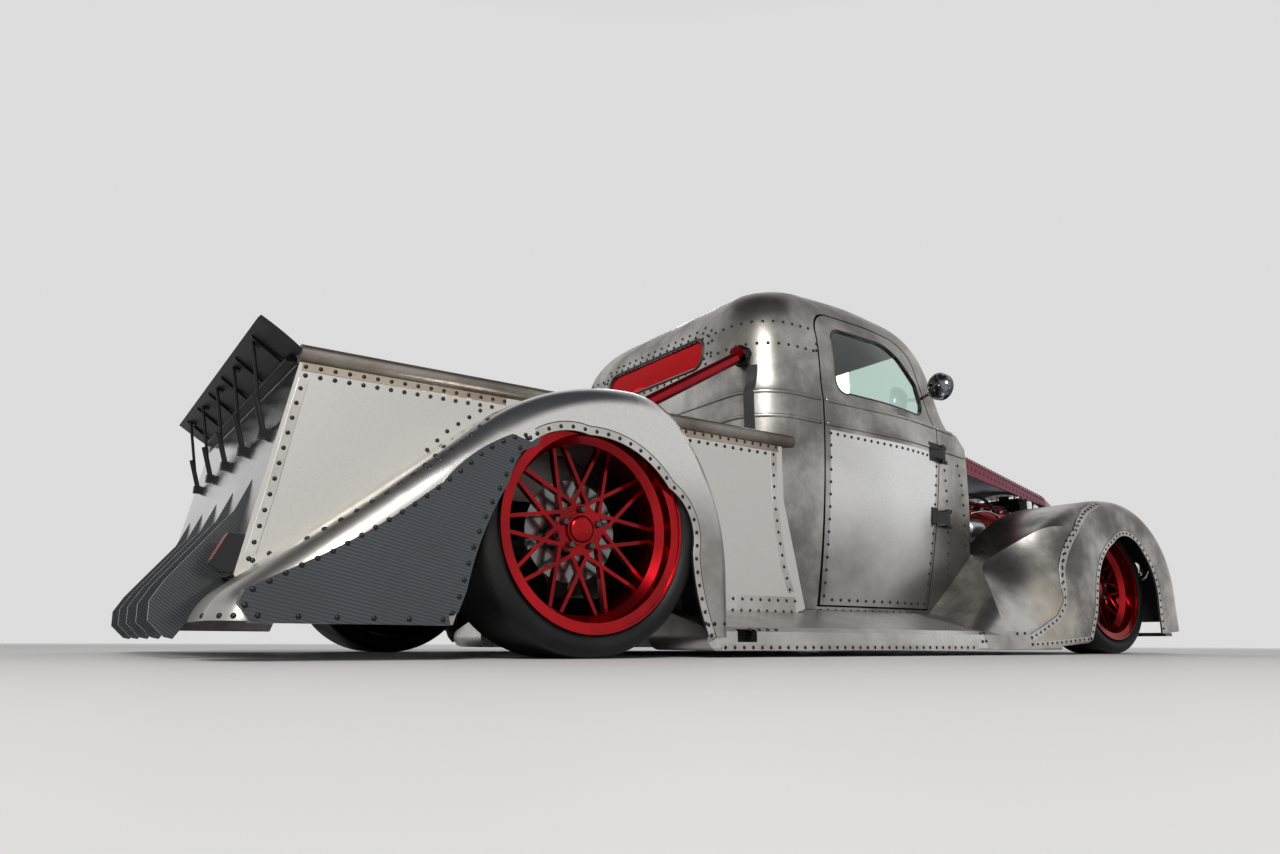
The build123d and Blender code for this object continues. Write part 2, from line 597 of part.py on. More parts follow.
with BuildPart() as hood_hinges:
    for y in (-LID_HINGE_Y, LID_HINGE_Y):
        for lean in (-1, 1):
            a, b = sorted((y + lean * 9, y + lean * 15))
            across(LID_X, LID_Z, (a, b), LID_EAR)
            side([(LID_X - LID_EAR, LID_Z), (LID_X - 30, 900), (LID_X - 4, 900), (LID_X + LID_EAR, LID_Z)], a, b)
        across(LID_X, LID_Z, (y - 15, y + 15), LID_PIN)
    add(cab_outside, mode=Mode.SUBTRACT)

# Grille: a shield outline with a prow in plan, its frame and upright bars
PROW = [(3298, -420), (3345, -420), (3440, 0), (3345, 420), (3298, 420)]
FRAME_WIDTH = 42.0
BARS = 17


def shield(cut):
    """The grille's outline in front view, made smaller by a cut."""
    with BuildSketch(Plane.YZ.offset(at(3280))) as outline:
        with BuildLine():
            trace([(-235 + cut * 0.8, 225 + cut), (-400 + cut, 545), (-398 + cut, 780),
                   ((-300 + cut * 0.75, 880 - cut * 0.8), (0, 922 - cut)),
                   ((300 - cut * 0.75, 880 - cut * 0.8), (398 - cut, 780)),
                   (400 - cut, 545), (235 - cut * 0.8, 225 + cut)])
        make_face()
        fillet(outline.vertices().filter_by(lambda v: v.Y < 600), radius=60 - cut)
    return outline.sketch


with BuildPart() as grille_shell:
    extrude(shield(0), amount=200)
    plate(PROW, 100, 1000, Mode.INTERSECT)
    extrude(shield(FRAME_WIDTH), amount=200, mode=Mode.SUBTRACT)

with BuildPart() as grille_bars:
    for i in range(BARS):
        y = -336 + 672 * i / (BARS - 1)
        x = 3440 - 95 * abs(y) / 420
        block((x - 46, x - 14), (y - 4, y + 4), (200, 930))
    block((3312, 3330), (-352, 352), (520, 534))
    extrude(shield(FRAME_WIDTH), amount=200, mode=Mode.INTERSECT)

with BuildPart() as headlamps:
    rod((3380, 208 - OUT, 452), (3478, 208 - OUT, 452), 96)
    fillet(edges().sort_by(Axis.X)[-1], radius=18)
    add(front_form.part, mode=Mode.SUBTRACT)
    mirror(about=Plane.XZ)

with BuildPart() as front_splitter:
    plate([(3300, 25 - OUT), (3420, 50 - OUT), (3472, 250 - OUT), (3485, 0), (3472, OUT - 250), (3420, OUT - 50),
           (3300, OUT - 25)], 84, 100)
    block((3300, 3312), (12 - FRONT_FENDER_IN, FRONT_FENDER_IN - 12), (100, 225))
    block((3240, 3430), (-316, -306), (84, 215))
    block((3240, 3430), (306, 316), (84, 215))

# Engine: block and heads in a V, with covers, intake, headers and radiator
ENGINE_X = (2520.0, 3060.0)
with BuildPart() as engine_block:
    side([(ENGINE_X[0], 250), (ENGINE_X[1], 250), (ENGINE_X[1], 580), (ENGINE_X[0], 580)], -180, 180)
    with BuildSketch(Plane.YZ.offset(at(ENGINE_X[0] + 20))) as bank:
        with BuildLine():
            Polyline((-150, 440), (-268, 560), (-340, 632), (-240, 712), (-150, 640), (0, 600),
                     (150, 640), (240, 712), (340, 632), (268, 560), (150, 440), close=True)
        make_face()
    extrude(bank.sketch, amount=500)
    rod((2285, 0, 400), (2530, 0, 400), 130)
    block((2760, 2830), (-300, 300), (262, 296))

with BuildPart() as valve_covers:
    with BuildSketch(Plane.YZ.offset(at(ENGINE_X[0] + 30))) as cover:
        with BuildLine():
            Polyline((-340, 632), (-240, 712), (-262, 768), (-300, 772), (-372, 712), (-370, 672), close=True)
        make_face()
        fillet(cover.vertices().filter_by(lambda v: v.Y > 650), radius=14)
    extrude(cover.sketch, amount=480)
    fillet(edges().filter_by(lambda e: abs(e.center().X - at(3030)) < 60 and e.length > 20
                             and abs(e.bounding_box().size.X) < 0.1), radius=10)
    mirror(about=Plane.XZ)

with BuildPart() as intake:
    side([(2620, 598), (2960, 598), (2950, 700), (2630, 700)], -90, 90)
    rod((2790, 0, 700), (2790, 0, 742), 90)
    rod((2790, 0, 742), (2790, 0, 820), 170)
    fillet(edges().sort_by(Axis.Z)[-1], radius=30)
    add(engine_block.part, mode=Mode.SUBTRACT)

with BuildPart() as exhaust_headers:
    for x in (2600, 2710, 2820, 2930):
        rod((x, -285, 590), (x - 20, -395, 560), 19)
        rod((x - 20, -395, 564), (x - 60, -418, 470), 19)
    rod((2900, -418, 462), (2380, -418, 462), 30)
    add(engine_block.part, mode=Mode.SUBTRACT)
    mirror(about=Plane.XZ)

with BuildPart() as radiator:
    block((3190, 3250), (-300, 300), (315, 800))
    block((3180, 3258), (-300, 300), (800, 836))
    rod((3200, -200, 836), (3200, -200, 856), 28)
    for s in (-1, 1):
        for z in (400, 740):
            block((3232, 3298), (s * 336 - 40, s * 336 + 40), (z, z + 16))
    rod((3190, 120, 790), (3060, 120, 640), 22)
    add(engine_block.part, mode=Mode.SUBTRACT)

# Axles. Front: a drop beam with kingpins; rear: a tube with its drive housing
SPINDLE_DEPTH = 14.0  # from the mesh face back to the spindle's end


def spindle_end(wheel):
    """How far out a wheel's spindle reaches from the middle plane."""
    return wheel["track"] + wheel["half"] - wheel["dish"] - SPINDLE_DEPTH


with BuildPart() as rear_axle:
    rod((0, -700, REAR_Z), (0, 700, REAR_Z), 38)
    rod((0, -spindle_end(REAR_WHEEL), REAR_Z), (0, spindle_end(REAR_WHEEL), REAR_Z), SPINDLE_R)
    with Locations((REAR_AXLE_X, 0, REAR_Z)):
        Sphere(132)
    for s in (-1, 1):
        rod((0, s * 330, REAR_Z), (0, s * 330, 480), 52)
        block((0, 430), (s * 330 - 25, s * 330 + 25), (330, 385))
    add(frame_rails.part, mode=Mode.SUBTRACT)

with BuildPart() as front_axle:
    block((2948, 2992), (146 - KINGPIN_Y, KINGPIN_Y - 146), (168, 215))
    for s in (-1, 1):
        rod((2970, s * (KINGPIN_Y - 166), 193), (2970, s * (KINGPIN_Y - 10), 304), 22)
        rod((2970, s * KINGPIN_Y, 270), (2970, s * KINGPIN_Y, 344), 24)
        rod((2970, s * KINGPIN_Y, 226), (2970, s * KINGPIN_Y, 388), KINGPIN_R)
    add(frame_rails.part, mode=Mode.SUBTRACT)

YOKE = [(226, 262), (352, 388)]
with BuildPart() as knuckle_right:
    for low, high in YOKE:
        block((2946, 2994), (-KINGPIN_Y - 40, -KINGPIN_Y + 20), (low, high))
    block((2934, 3006), (-KINGPIN_Y - 40, -KINGPIN_Y - 29), (226, 388))
    rod((2970, -KINGPIN_Y - 30, FRONT_Z), (2970, -spindle_end(FRONT_WHEEL), FRONT_Z), SPINDLE_R)
    block((2800, 2950), (-KINGPIN_Y - 20, -KINGPIN_Y + 4), (236, 252))
    block((2812, 2940), (-KINGPIN_Y - 40, -KINGPIN_Y - 29), (282, 332))
    block((2808, 2862), (-KINGPIN_Y - 60, -KINGPIN_Y - 29), (258, 356))
    rod((2970, -KINGPIN_Y - 56, FRONT_Z), (2970, -KINGPIN_Y - 43, FRONT_Z), 160, Mode.SUBTRACT)
    rod((2970, -KINGPIN_Y - 60, FRONT_Z), (2970, -spindle_end(FRONT_WHEEL), FRONT_Z), SPINDLE_R)
    rod((2970, -KINGPIN_Y - 30, FRONT_Z), (2970, -spindle_end(FRONT_WHEEL), FRONT_Z), SPINDLE_R)
    rod((2970, -KINGPIN_Y, 200), (2970, -KINGPIN_Y, 400), KINGPIN_R + FIT, Mode.SUBTRACT)


# Wheels, drawn about their own centre with the outside towards -Y
def rim_solid(wheel):
    """A deep rim: rolled barrel, crossing mesh bars, hub with its bore, and a brake disc."""
    lip, h = wheel["lip"], wheel["half"]
    face, hub = h - wheel["dish"], 0.3 * lip - 16
    outer = [(lip, -h), (lip, 9 - h), (lip - 14, 12 - h), (lip - 24, 15 - h), (lip - 24, 42 - h), (lip - 44, 62 - h)]
    inner = [(lip - 51, 66 - h), (lip - 31, 45 - h), (lip - 31, 10 - h), (lip - 7, 5 - h), (lip - 7, -h)]
    ring = outer + [(r, -y) for r, y in reversed(outer)] + [(r, -y) for r, y in reversed(inner)] + inner
    with BuildPart() as rim:
        with BuildSketch(Plane.XY) as barrel:
            with BuildLine():
                Polyline(*ring, close=True)
            make_face()
        revolve(axis=Axis.Y)
        with BuildSketch(Plane.XZ.offset(face - 22)) as mesh:
            for pair in range(MESH_PAIRS):
                for lean in (-1, 1):
                    middle = 360 * pair / MESH_PAIRS
                    a, b = radians(middle + lean * MESH_HUB), radians(middle + lean * MESH_RIM)
                    p, q = Vector(hub * cos(a), hub * sin(a)), Vector((lip - 46) * cos(b), (lip - 46) * sin(b))
                    w = (q - p).normalized().rotate(Axis.Z, 90) * (wheel["bar"] / 2)
                    with BuildLine():
                        Polyline(p + w, q + w, q - w, p - w, close=True)
                    make_face()
            Circle(0.25 * lip)
        extrude(amount=22)
        with BuildSketch(Plane.XZ.offset(-HUB_BACK)):
            Circle(54)
        extrude(amount=face - 10 + HUB_BACK)
        with BuildSketch(Plane.XZ.offset(-2)):
            Circle(150)
        extrude(amount=8)
        with BuildSketch(Plane.XZ.offset(face)):
            Circle(46)
        extrude(amount=8)
        with BuildSketch(Plane.XZ.offset(-HUB_BACK)):
            Circle(SPINDLE_R + FIT)
        extrude(amount=face - SPINDLE_DEPTH + 1 + HUB_BACK, mode=Mode.SUBTRACT)
    return rim.part


def tyre_solid(wheel):
    """A low tyre seated on the rim, hollow towards it."""
    lip, h, top = wheel["lip"], wheel["half"], wheel["tyre"]
    mid = (lip + top) / 2
    with BuildPart() as tyre:
        with BuildSketch(Plane.XY):
            with BuildLine():
                Polyline((lip - 24, 40 - h), (lip - 24, 16.5 - h), (lip + 1.5, 12 - h))
                ThreePointArc((lip + 1.5, 12 - h), (mid, -h - 4), (top - 4, 14 - h))
                Polyline((top - 4, 14 - h), (top, 26 - h), (top, h - 26), (top - 4, h - 14))
                ThreePointArc((top - 4, h - 14), (mid, h + 4), (lip + 1.5, h - 12))
                Polyline((lip + 1.5, h - 12), (lip - 24, h - 16.5), (lip - 24, h - 40), (lip - 12, h - 34),
                         (mid, h - 14), (top - 12, h - 30), (top - 12, 30 - h), (mid, 14 - h),
                         (lip - 12, 34 - h), (lip - 24, 40 - h))
            make_face()
        revolve(axis=Axis.Y)
    return tyre.part


rear_rim, rear_tyre = rim_solid(REAR_WHEEL), tyre_solid(REAR_WHEEL)
front_rim, front_tyre = rim_solid(FRONT_WHEEL), tyre_solid(FRONT_WHEEL)
REAR_PLACE = Location((REAR_AXLE_X, -REAR_WHEEL["track"], REAR_Z))
FRONT_PLACE = Location((REAR_AXLE_X + WHEELBASE, -FRONT_WHEEL["track"], FRONT_Z))

with BuildPart() as rear_rim_right:
    add(rear_rim.moved(REAR_PLACE))
with BuildPart() as rear_tyre_right:
    add(rear_tyre.moved(REAR_PLACE))
with BuildPart() as front_rim_right:
    add(front_rim.moved(FRONT_PLACE))
with BuildPart() as front_tyre_right:
    add(front_tyre.moved(FRONT_PLACE))

# Pieces of the left side
with BuildPart() as door_left:
    mirror(door_right.part, about=Plane.XZ)
with BuildPart() as door_glass_left:
    mirror(door_glass_right.part, about=Plane.XZ)
with BuildPart() as mirror_left:
    mirror(mirror_right.part, about=Plane.XZ)
with BuildPart() as knuckle_left:
    mirror(knuckle_right.part, about=Plane.XZ)
with BuildPart() as rear_rim_left:
    mirror(rear_rim_right.part, about=Plane.XZ)
with BuildPart() as rear_tyre_left:
    mirror(rear_tyre_right.part, about=Plane.XZ)
with BuildPart() as front_rim_left:
    mirror(front_rim_right.part, about=Plane.XZ)
with BuildPart() as front_tyre_left:
    mirror(front_tyre_right.part, about=Plane.XZ)

# Names and files
frame_rails.part.label = "frame_rails"
export_step(frame_rails.part, "parts/frame_rails.step")
cab_shell.part.label = "cab_shell"
export_step(cab_shell.part, "parts/cab_shell.step")
cab_floor.part.label = "cab_floor"
export_step(cab_floor.part, "parts/cab_floor.step")
windscreen_glass.part.label = "windscreen_glass"
export_step(windscreen_glass.part, "parts/windscreen_glass.step")
rear_window_glass.part.label = "rear_window_glass"
export_step(rear_window_glass.part, "parts/rear_window_glass.step")
seats.part.label = "seats"
export_step(seats.part, "parts/seats.step")
dashboard.part.label = "dashboard"
export_step(dashboard.part, "parts/dashboard.step")
steering_wheel.part.label = "steering_wheel"
export_step(steering_wheel.part, "parts/steering_wheel.step")
front_fenders.part.label = "front_fenders"
export_step(front_fenders.part, "parts/front_fenders.step")
running_boards.part.label = "running_boards"
export_step(running_boards.part, "parts/running_boards.step")
rear_fenders.part.label = "rear_fenders"
export_step(rear_fenders.part, "parts/rear_fenders.step")
rear_skirts.part.label = "rear_skirts"
export_step(rear_skirts.part, "parts/rear_skirts.step")
bed_sides.part.label = "bed_sides"
export_step(bed_sides.part, "parts/bed_sides.step")
bed_rails.part.label = "bed_rails"
export_step(bed_rails.part, "parts/bed_rails.step")
bed_floor.part.label = "bed_floor"
export_step(bed_floor.part, "parts/bed_floor.step")
wheel_tubs.part.label = "wheel_tubs"
export_step(wheel_tubs.part, "parts/wheel_tubs.step")
bed_front_panel.part.label = "bed_front_panel"
export_step(bed_front_panel.part, "parts/bed_front_panel.step")
tailgate.part.label = "tailgate"
export_step(tailgate.part, "parts/tailgate.step")
rear_wing.part.label = "rear_wing"
export_step(rear_wing.part, "parts/rear_wing.step")
wing_stays.part.label = "wing_stays"
export_step(wing_stays.part, "parts/wing_stays.step")
diffuser.part.label = "diffuser"
export_step(diffuser.part, "parts/diffuser.step")
tail_lamps.part.label = "tail_lamps"
export_step(tail_lamps.part, "parts/tail_lamps.step")
down_tubes.part.label = "down_tubes"
export_step(down_tubes.part, "parts/down_tubes.step")
hood_hinges.part.label = "hood_hinges"
export_step(hood_hinges.part, "parts/hood_hinges.step")
hood_lid.part.label = "hood_lid"
export_step(hood_lid.part, "parts/hood_lid.step")
grille_shell.part.label = "grille_shell"
export_step(grille_shell.part, "parts/grille_shell.step")
grille_bars.part.label = "grille_bars"
export_step(grille_bars.part, "parts/grille_bars.step")
headlamps.part.label = "headlamps"
export_step(headlamps.part, "parts/headlamps.step")
front_splitter.part.label = "front_splitter"
export_step(front_splitter.part, "parts/front_splitter.step")
engine_block.part.label = "engine_block"
export_step(engine_block.part, "parts/engine_block.step")
valve_covers.part.label = "valve_covers"
export_step(valve_covers.part, "parts/valve_covers.step")
intake.part.label = "intake"
export_step(intake.part, "parts/intake.step")
exhaust_headers.part.label = "exhaust_headers"
export_step(exhaust_headers.part, "parts/exhaust_headers.step")
radiator.part.label = "radiator"
export_step(radiator.part, "parts/radiator.step")
rear_axle.part.label = "rear_axle"
export_step(rear_axle.part, "parts/rear_axle.step")
front_axle.part.label = "front_axle"
export_step(front_axle.part, "parts/front_axle.step")
door_right.part.label = "door_right"
export_step(door_right.part, "parts/door_right.step")
door_left.part.label = "door_left"
export_step(door_left.part, "parts/door_left.step")
door_glass_right.part.label = "door_glass_right"
export_step(door_glass_right.part, "parts/door_glass_right.step")
door_glass_left.part.label = "door_glass_left"
export_step(door_glass_left.part, "parts/door_glass_left.step")
mirror_right.part.label = "mirror_right"
export_step(mirror_right.part, "parts/mirror_right.step")
mirror_left.part.label = "mirror_left"
export_step(mirror_left.part, "parts/mirror_left.step")
knuckle_right.part.label = "knuckle_right"
export_step(knuckle_right.part, "parts/knuckle_right.step")
knuckle_left.part.label = "knuckle_left"
export_step(knuckle_left.part, "parts/knuckle_left.step")
rear_rim_right.part.label = "rear_rim_right"
export_step(rear_rim_right.part, "parts/rear_rim_right.step")
rear_rim_left.part.label = "rear_rim_left"
export_step(rear_rim_left.part, "parts/rear_rim_left.step")
rear_tyre_right.part.label = "rear_tyre_right"
export_step(rear_tyre_right.part, "parts/rear_tyre_right.step")
rear_tyre_left.part.label = "rear_tyre_left"
export_step(rear_tyre_left.part, "parts/rear_tyre_left.step")
front_rim_right.part.label = "front_rim_right"
export_step(front_rim_right.part, "parts/front_rim_right.step")
front_rim_left.part.label = "front_rim_left"
export_step(front_rim_left.part, "parts/front_rim_left.step")
front_tyre_right.part.label = "front_tyre_right"
export_step(front_tyre_right.part, "parts/front_tyre_right.step")
front_tyre_left.part.label = "front_tyre_left"
export_step(front_tyre_left.part, "parts/front_tyre_left.step")
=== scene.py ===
# %% [markdown]
# A low custom pickup truck, dressed over its frame
#
# The truck's sheet metal, wheels and engine come from the CAD frame, true to size.  Here they get
# what the eye reads first: bare steel with its patina, rows of black rivets, light flange strips,
# candy red over metal, woven carbon and soft seats.  Everything is in metres, +X forward, +Z up.

# %% The frame
import bpy
import numpy as np
from mathutils import Matrix, Vector
from mathutils.bvhtree import BVHTree


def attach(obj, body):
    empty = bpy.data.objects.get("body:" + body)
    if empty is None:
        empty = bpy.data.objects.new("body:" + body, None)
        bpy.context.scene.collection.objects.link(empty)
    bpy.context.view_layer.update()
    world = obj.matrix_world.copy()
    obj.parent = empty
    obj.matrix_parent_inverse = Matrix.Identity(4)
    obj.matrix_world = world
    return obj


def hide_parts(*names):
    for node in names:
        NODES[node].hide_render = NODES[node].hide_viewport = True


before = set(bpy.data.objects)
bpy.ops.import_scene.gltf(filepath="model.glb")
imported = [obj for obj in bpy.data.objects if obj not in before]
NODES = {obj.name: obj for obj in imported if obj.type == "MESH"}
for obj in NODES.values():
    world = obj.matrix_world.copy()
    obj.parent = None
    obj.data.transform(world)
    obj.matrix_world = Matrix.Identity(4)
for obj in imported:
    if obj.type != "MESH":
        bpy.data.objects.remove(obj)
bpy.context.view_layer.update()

bpy.context.scene.view_settings.view_transform = "Standard"

# %% [markdown]
# Places on the side of the truck are read from a side view, in millimetres from the rear axle and
# from the ground.  One helper turns them into the frame's metres, another walks along a drawn
# outline of lines and arcs, and a third spaces points evenly on it, as a builder walks a row of
# rivets off with dividers.  AXLE is how far the rear axle lies behind the frame's origin, and REAR
# and FRONT are the two axles' own places, x and z in the frame.

# %% Side view
AXLE = 1225.0
REAR, FRONT = (-1.225, 0.360), (1.745, 0.307)
ARC_POINTS = 14


def frame_x(x):
    """A side view distance from the rear axle, in the frame's metres."""
    return (np.asarray(x, float) - AXLE) / 1000


def arc(a, m, b):
    """Points on the circle through a, m and b: its centre is where two perpendicular bisectors cross."""
    a, m, b = (np.array(p, float) for p in (a, m, b))
    left = np.array([m - a, b - m]) * 2
    centre = np.linalg.solve(left, [m @ m - a @ a, b @ b - m @ m])
    turn = [np.arctan2(*(p - centre)[::-1]) for p in (a, m, b)]
    t = np.unwrap(turn)
    r = np.linalg.norm(a - centre)
    angle = np.interp(np.linspace(0, 2, ARC_POINTS), [0, 1, 2], t)
    return centre + r * np.stack([np.cos(angle), np.sin(angle)], -1)


def outline(path):
    """A drawn outline as points: a pair is the end of a line, two pairs are an arc."""
    points = [np.array([path[0]], float)]
    for step in path[1:]:
        last = points[-1][-1]
        points.append(arc(last, *step)[1:] if isinstance(step[0], tuple) else np.array([step], float))
    return np.concatenate(points)


def spaced(points, step):
    """Points about a step apart along a chain of points, its ends kept."""
    points = np.asarray(points, float)
    walk = np.concatenate([[0], np.cumsum(np.linalg.norm(np.diff(points, axis=0), axis=1))])
    at = np.linspace(0, walk[-1], max(int(round(walk[-1] / step)) + 1, 2))
    return np.stack([np.interp(at, walk, column) for column in points.T], -1)


def level(start, end, height, count):
    """Even points on a level line of the side view."""
    return np.stack([np.linspace(start, end, count), np.full(count, height)], -1)


def beside(points, gap):
    """A chain of points moved to its left by a gap, along the normal of its own line."""
    points = np.asarray(points, float)
    line = np.gradient(points, axis=0)
    line /= np.linalg.norm(line, axis=1)[:, None]
    return points + gap * np.stack([-line[:, 1], line[:, 0]], -1)


# %% [markdown]
# A rivet or a strip has to lie on the metal that carries it.  A ray shot at the CAD skin finds both
# the spot and the way the skin faces there, so nothing floats and nothing sinks.  Placing by hand
# would fail as soon as a panel curves.  OUTSIDE and BEHIND are the metres from which rays start,
# and CAB_MIDDLE is the side view place that those round the cab aim at.

# %% Landing on the metal
OUTSIDE, BEHIND = 2.0, 3.0
CAB_MIDDLE = 1450


def skin_of(*names):
    """A search tree over the faces of some CAD nodes."""
    corners, faces, start = [], [], 0
    for name in names:
        mesh = NODES[name].data
        flat = np.empty(len(mesh.vertices) * 3)
        mesh.vertices.foreach_get("co", flat)
        ring = np.empty(len(mesh.loops), int)
        mesh.loops.foreach_get("vertex_index", ring)
        corners.append(flat.reshape(-1, 3))
        faces.append(ring.reshape(-1, 3) + start)
        start += len(mesh.vertices)
    return BVHTree.FromPolygons(np.concatenate(corners).tolist(), np.concatenate(faces).tolist())


def land(tree, origins, towards):
    """Where rays meet the skin and how it faces there; rays that miss are left out."""
    towards = np.broadcast_to(np.asarray(towards, float), np.shape(origins))
    hits = [tree.ray_cast(Vector(o), Vector(t)) for o, t in zip(origins, towards)]
    kept = [(h[0], h[1] if h[1].dot(Vector(t)) < 0 else -h[1]) for h, t in zip(hits, towards) if h[0]]
    spots = np.array([tuple(p) for p, _ in kept]).reshape(-1, 3)
    faces = np.array([tuple(n) for _, n in kept]).reshape(-1, 3)
    return spots, faces


def on_side(tree, points):
    """Side view points laid on the truck's right side, by rays shot across it."""
    x, z = np.asarray(points, float).T
    return land(tree, np.stack([frame_x(x), np.full(len(x), -OUTSIDE), z / 1000], -1), (0, 1, 0))


def on_top(tree, points):
    """Points given as distance from the rear axle and from the middle, laid on what faces up."""
    x, y = np.asarray(points, float).T
    return land(tree, np.stack([frame_x(x), y / 1000, np.full(len(x), OUTSIDE)], -1), (0, 0, -1))


def from_behind(tree, points):
    """Points given as distance from the middle and height, laid on what faces the rear."""
    y, z = np.asarray(points, float).T / 1000
    return land(tree, np.stack([np.full(len(y), -BEHIND), y, z], -1), (1, 0, 0))


def around_cab(tree, angles, height):
    """Points round the cab at a height, seen from its middle at angles from straight back."""
    angles = np.radians(angles)
    way = np.stack([np.cos(angles), np.sin(angles), np.zeros(len(angles))], -1)
    middle = np.array([frame_x(CAB_MIDDLE), 0, height / 1000])
    return land(tree, middle - BEHIND * way, way)


OUTWARD, MIRRORED = np.array([0.0, -1.0, 0.0]), np.array([1.0, -1.0, 1.0])
SIDES = (("right", np.ones(3)), ("left", MIRRORED))


def stacked(pairs):
    """Several pairs of spots and facings as one pair."""
    return [np.concatenate(part) for part in zip(*pairs)]


def both(spots, faces):
    """Spots on the right side and their mirror images on the left."""
    return stacked([(spots, faces), (spots * MIRRORED, faces * MIRRORED)])


# %% [markdown]
# Nearly every small piece is one of three shapes.  A grid is a surface worked out over two
# parameters.  A carried profile is a cross section taken along a path that knows which way is out.
# A lathe is a profile turned about an axis.  Working them out as whole arrays keeps them exact.

# %% Shapes
def grid_faces(rows, cols, wrap=True):
    """Four sided faces between neighbours of a grid, its columns closed into rings if wrapped."""
    i, j = np.meshgrid(np.arange(rows - 1), np.arange(cols if wrap else cols - 1), indexing="ij")
    k = (j + 1) % cols
    return np.stack([i * cols + j, i * cols + k, (i + 1) * cols + k, (i + 1) * cols + j], -1).reshape(-1, 4)


def placed(name, data):
    """An object in the scene that holds a mesh, a camera or a lamp."""
    piece = bpy.data.objects.new(name, data)
    bpy.context.scene.collection.objects.link(piece)
    return piece


def make(name, form, finish, body="chassis", smooth=True):
    """A mesh object from points and faces, with its finish, riding on a body."""
    points, faces = form
    mesh = bpy.data.meshes.new(name)
    mesh.from_pydata(np.asarray(points).reshape(-1, 3).tolist(), [], [tuple(f) for f in faces])
    mesh.validate()
    mesh.polygons.foreach_set("use_smooth", np.full(len(mesh.polygons), smooth))
    mesh.materials.append(finish)
    piece = placed(name, mesh)
    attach(piece, body)
    return piece


def unit(v):
    """Vectors at length one."""
    return v / np.maximum(np.linalg.norm(v, axis=-1, keepdims=True), 1e-9)


def frames(out):
    """Two directions square to each outward one."""
    out = unit(out)
    other = np.where(np.abs(out[:, 2:3]) > 0.9, [[1.0, 0, 0]], [[0.0, 0, 1.0]])
    across = unit(np.cross(other, out))
    return across, np.cross(out, across), out


def lathes(centres, out, profile, sides):
    """One turned form at each centre: profile rows are radius and height along the outward way."""
    centres = np.asarray(centres, float)
    across, up, out = frames(np.broadcast_to(out, centres.shape))
    angle = np.arange(sides) * 2 * np.pi / sides
    r, h = np.array(profile, float).T
    ring = (across[:, None, None] * (np.cos(angle) * r[:, None])[None, ..., None]
            + up[:, None, None] * (np.sin(angle) * r[:, None])[None, ..., None]
            + out[:, None, None] * np.repeat(h[:, None], sides, 1)[None, ..., None])
    points = centres[:, None, None] + ring
    one = grid_faces(len(profile), sides)
    size = len(profile) * sides
    faces = np.concatenate([one + size * k for k in range(len(centres))])
    return points.reshape(-1, 3), faces


def carried(path, out, profile, ends=True):
    """A closed profile taken along a path: its rows are distance to the side and outward."""
    path, out = np.asarray(path, float), unit(np.asarray(out, float))
    line = unit(np.gradient(path, axis=0))
    side = unit(np.cross(out, line))
    out = np.cross(line, side)
    a, h = np.array(profile, float).T
    points = path[:, None] + side[:, None] * a[None, :, None] + out[:, None] * h[None, :, None]
    faces = [tuple(f) for f in grid_faces(len(path), len(profile))[:, ::-1]]
    if ends:
        n, m = len(path), len(profile)
        faces += [tuple(range(m)), tuple(range((n - 1) * m, n * m))[::-1]]
    return points.reshape(-1, 3), faces


def carried_twice(path, out, profile):
    """A profile carried along a path on the right side and along its mirror image."""
    return [carried(path * flip, out * flip, profile) for _, flip in SIDES]


def circle(radius, sides):
    """A round profile for a tube or a seal."""
    t = -np.arange(sides) * 2 * np.pi / sides
    return np.stack([radius * np.cos(t), radius * np.sin(t)], -1)


def joined(parts):
    """Several point and face lists as one."""
    points, faces, start = [], [], 0
    for p, f in parts:
        points.append(p)
        faces += [tuple(int(i) + start for i in q) for q in f]
        start += len(p)
    return np.concatenate(points), faces


def tube(points, radius):
    """A round bar along a smooth line through points a, b, c and d.

    From b to c, with t from 0 to 1, the line is half of
    2 b + (c - a) t + (2 a - 5 b + 4 c - d) t^2 + (3 b - a - 3 c + d) t^3.
    """
    p = np.asarray(points, float)
    q = np.vstack([2 * p[0] - p[1], p, 2 * p[-1] - p[-2]])
    t = np.linspace(0, 1, 8, endpoint=False)[:, None]
    runs = [0.5 * (2 * b + (c - a) * t + (2 * a - 5 * b + 4 * c - d) * t ** 2
                   + (3 * b - a - 3 * c + d) * t ** 3)
            for a, b, c, d in zip(q, q[1:], q[2:], q[3:])]
    p = np.concatenate(runs + [p[-1:]])
    line = unit(np.gradient(p, axis=0))
    other = np.array([0.0, 0, 1.0]) if np.abs(line[:, 2]).max() < 0.95 else np.array([0.31, 0.9, 0.05])
    return carried(p, np.cross(line, np.cross(other, line)), circle(radius, 10))


# %% [markdown]
# Materials are sums.  A small class stands for a socket, so a mask can be written as 1 - cloud and a
# roughness as 0.3 + 0.2 * grain, and each sign adds its Math node.  All other nodes come from one
# method that sets a node's choices first and then its sockets.

# %% Shader sums
def sign(kind):
    """A method for a sign or a sum: it adds the Math node of that kind."""
    return lambda self, other=0.5: self.finish.node("Math", {"operation": kind}, {0: self, 1: other})


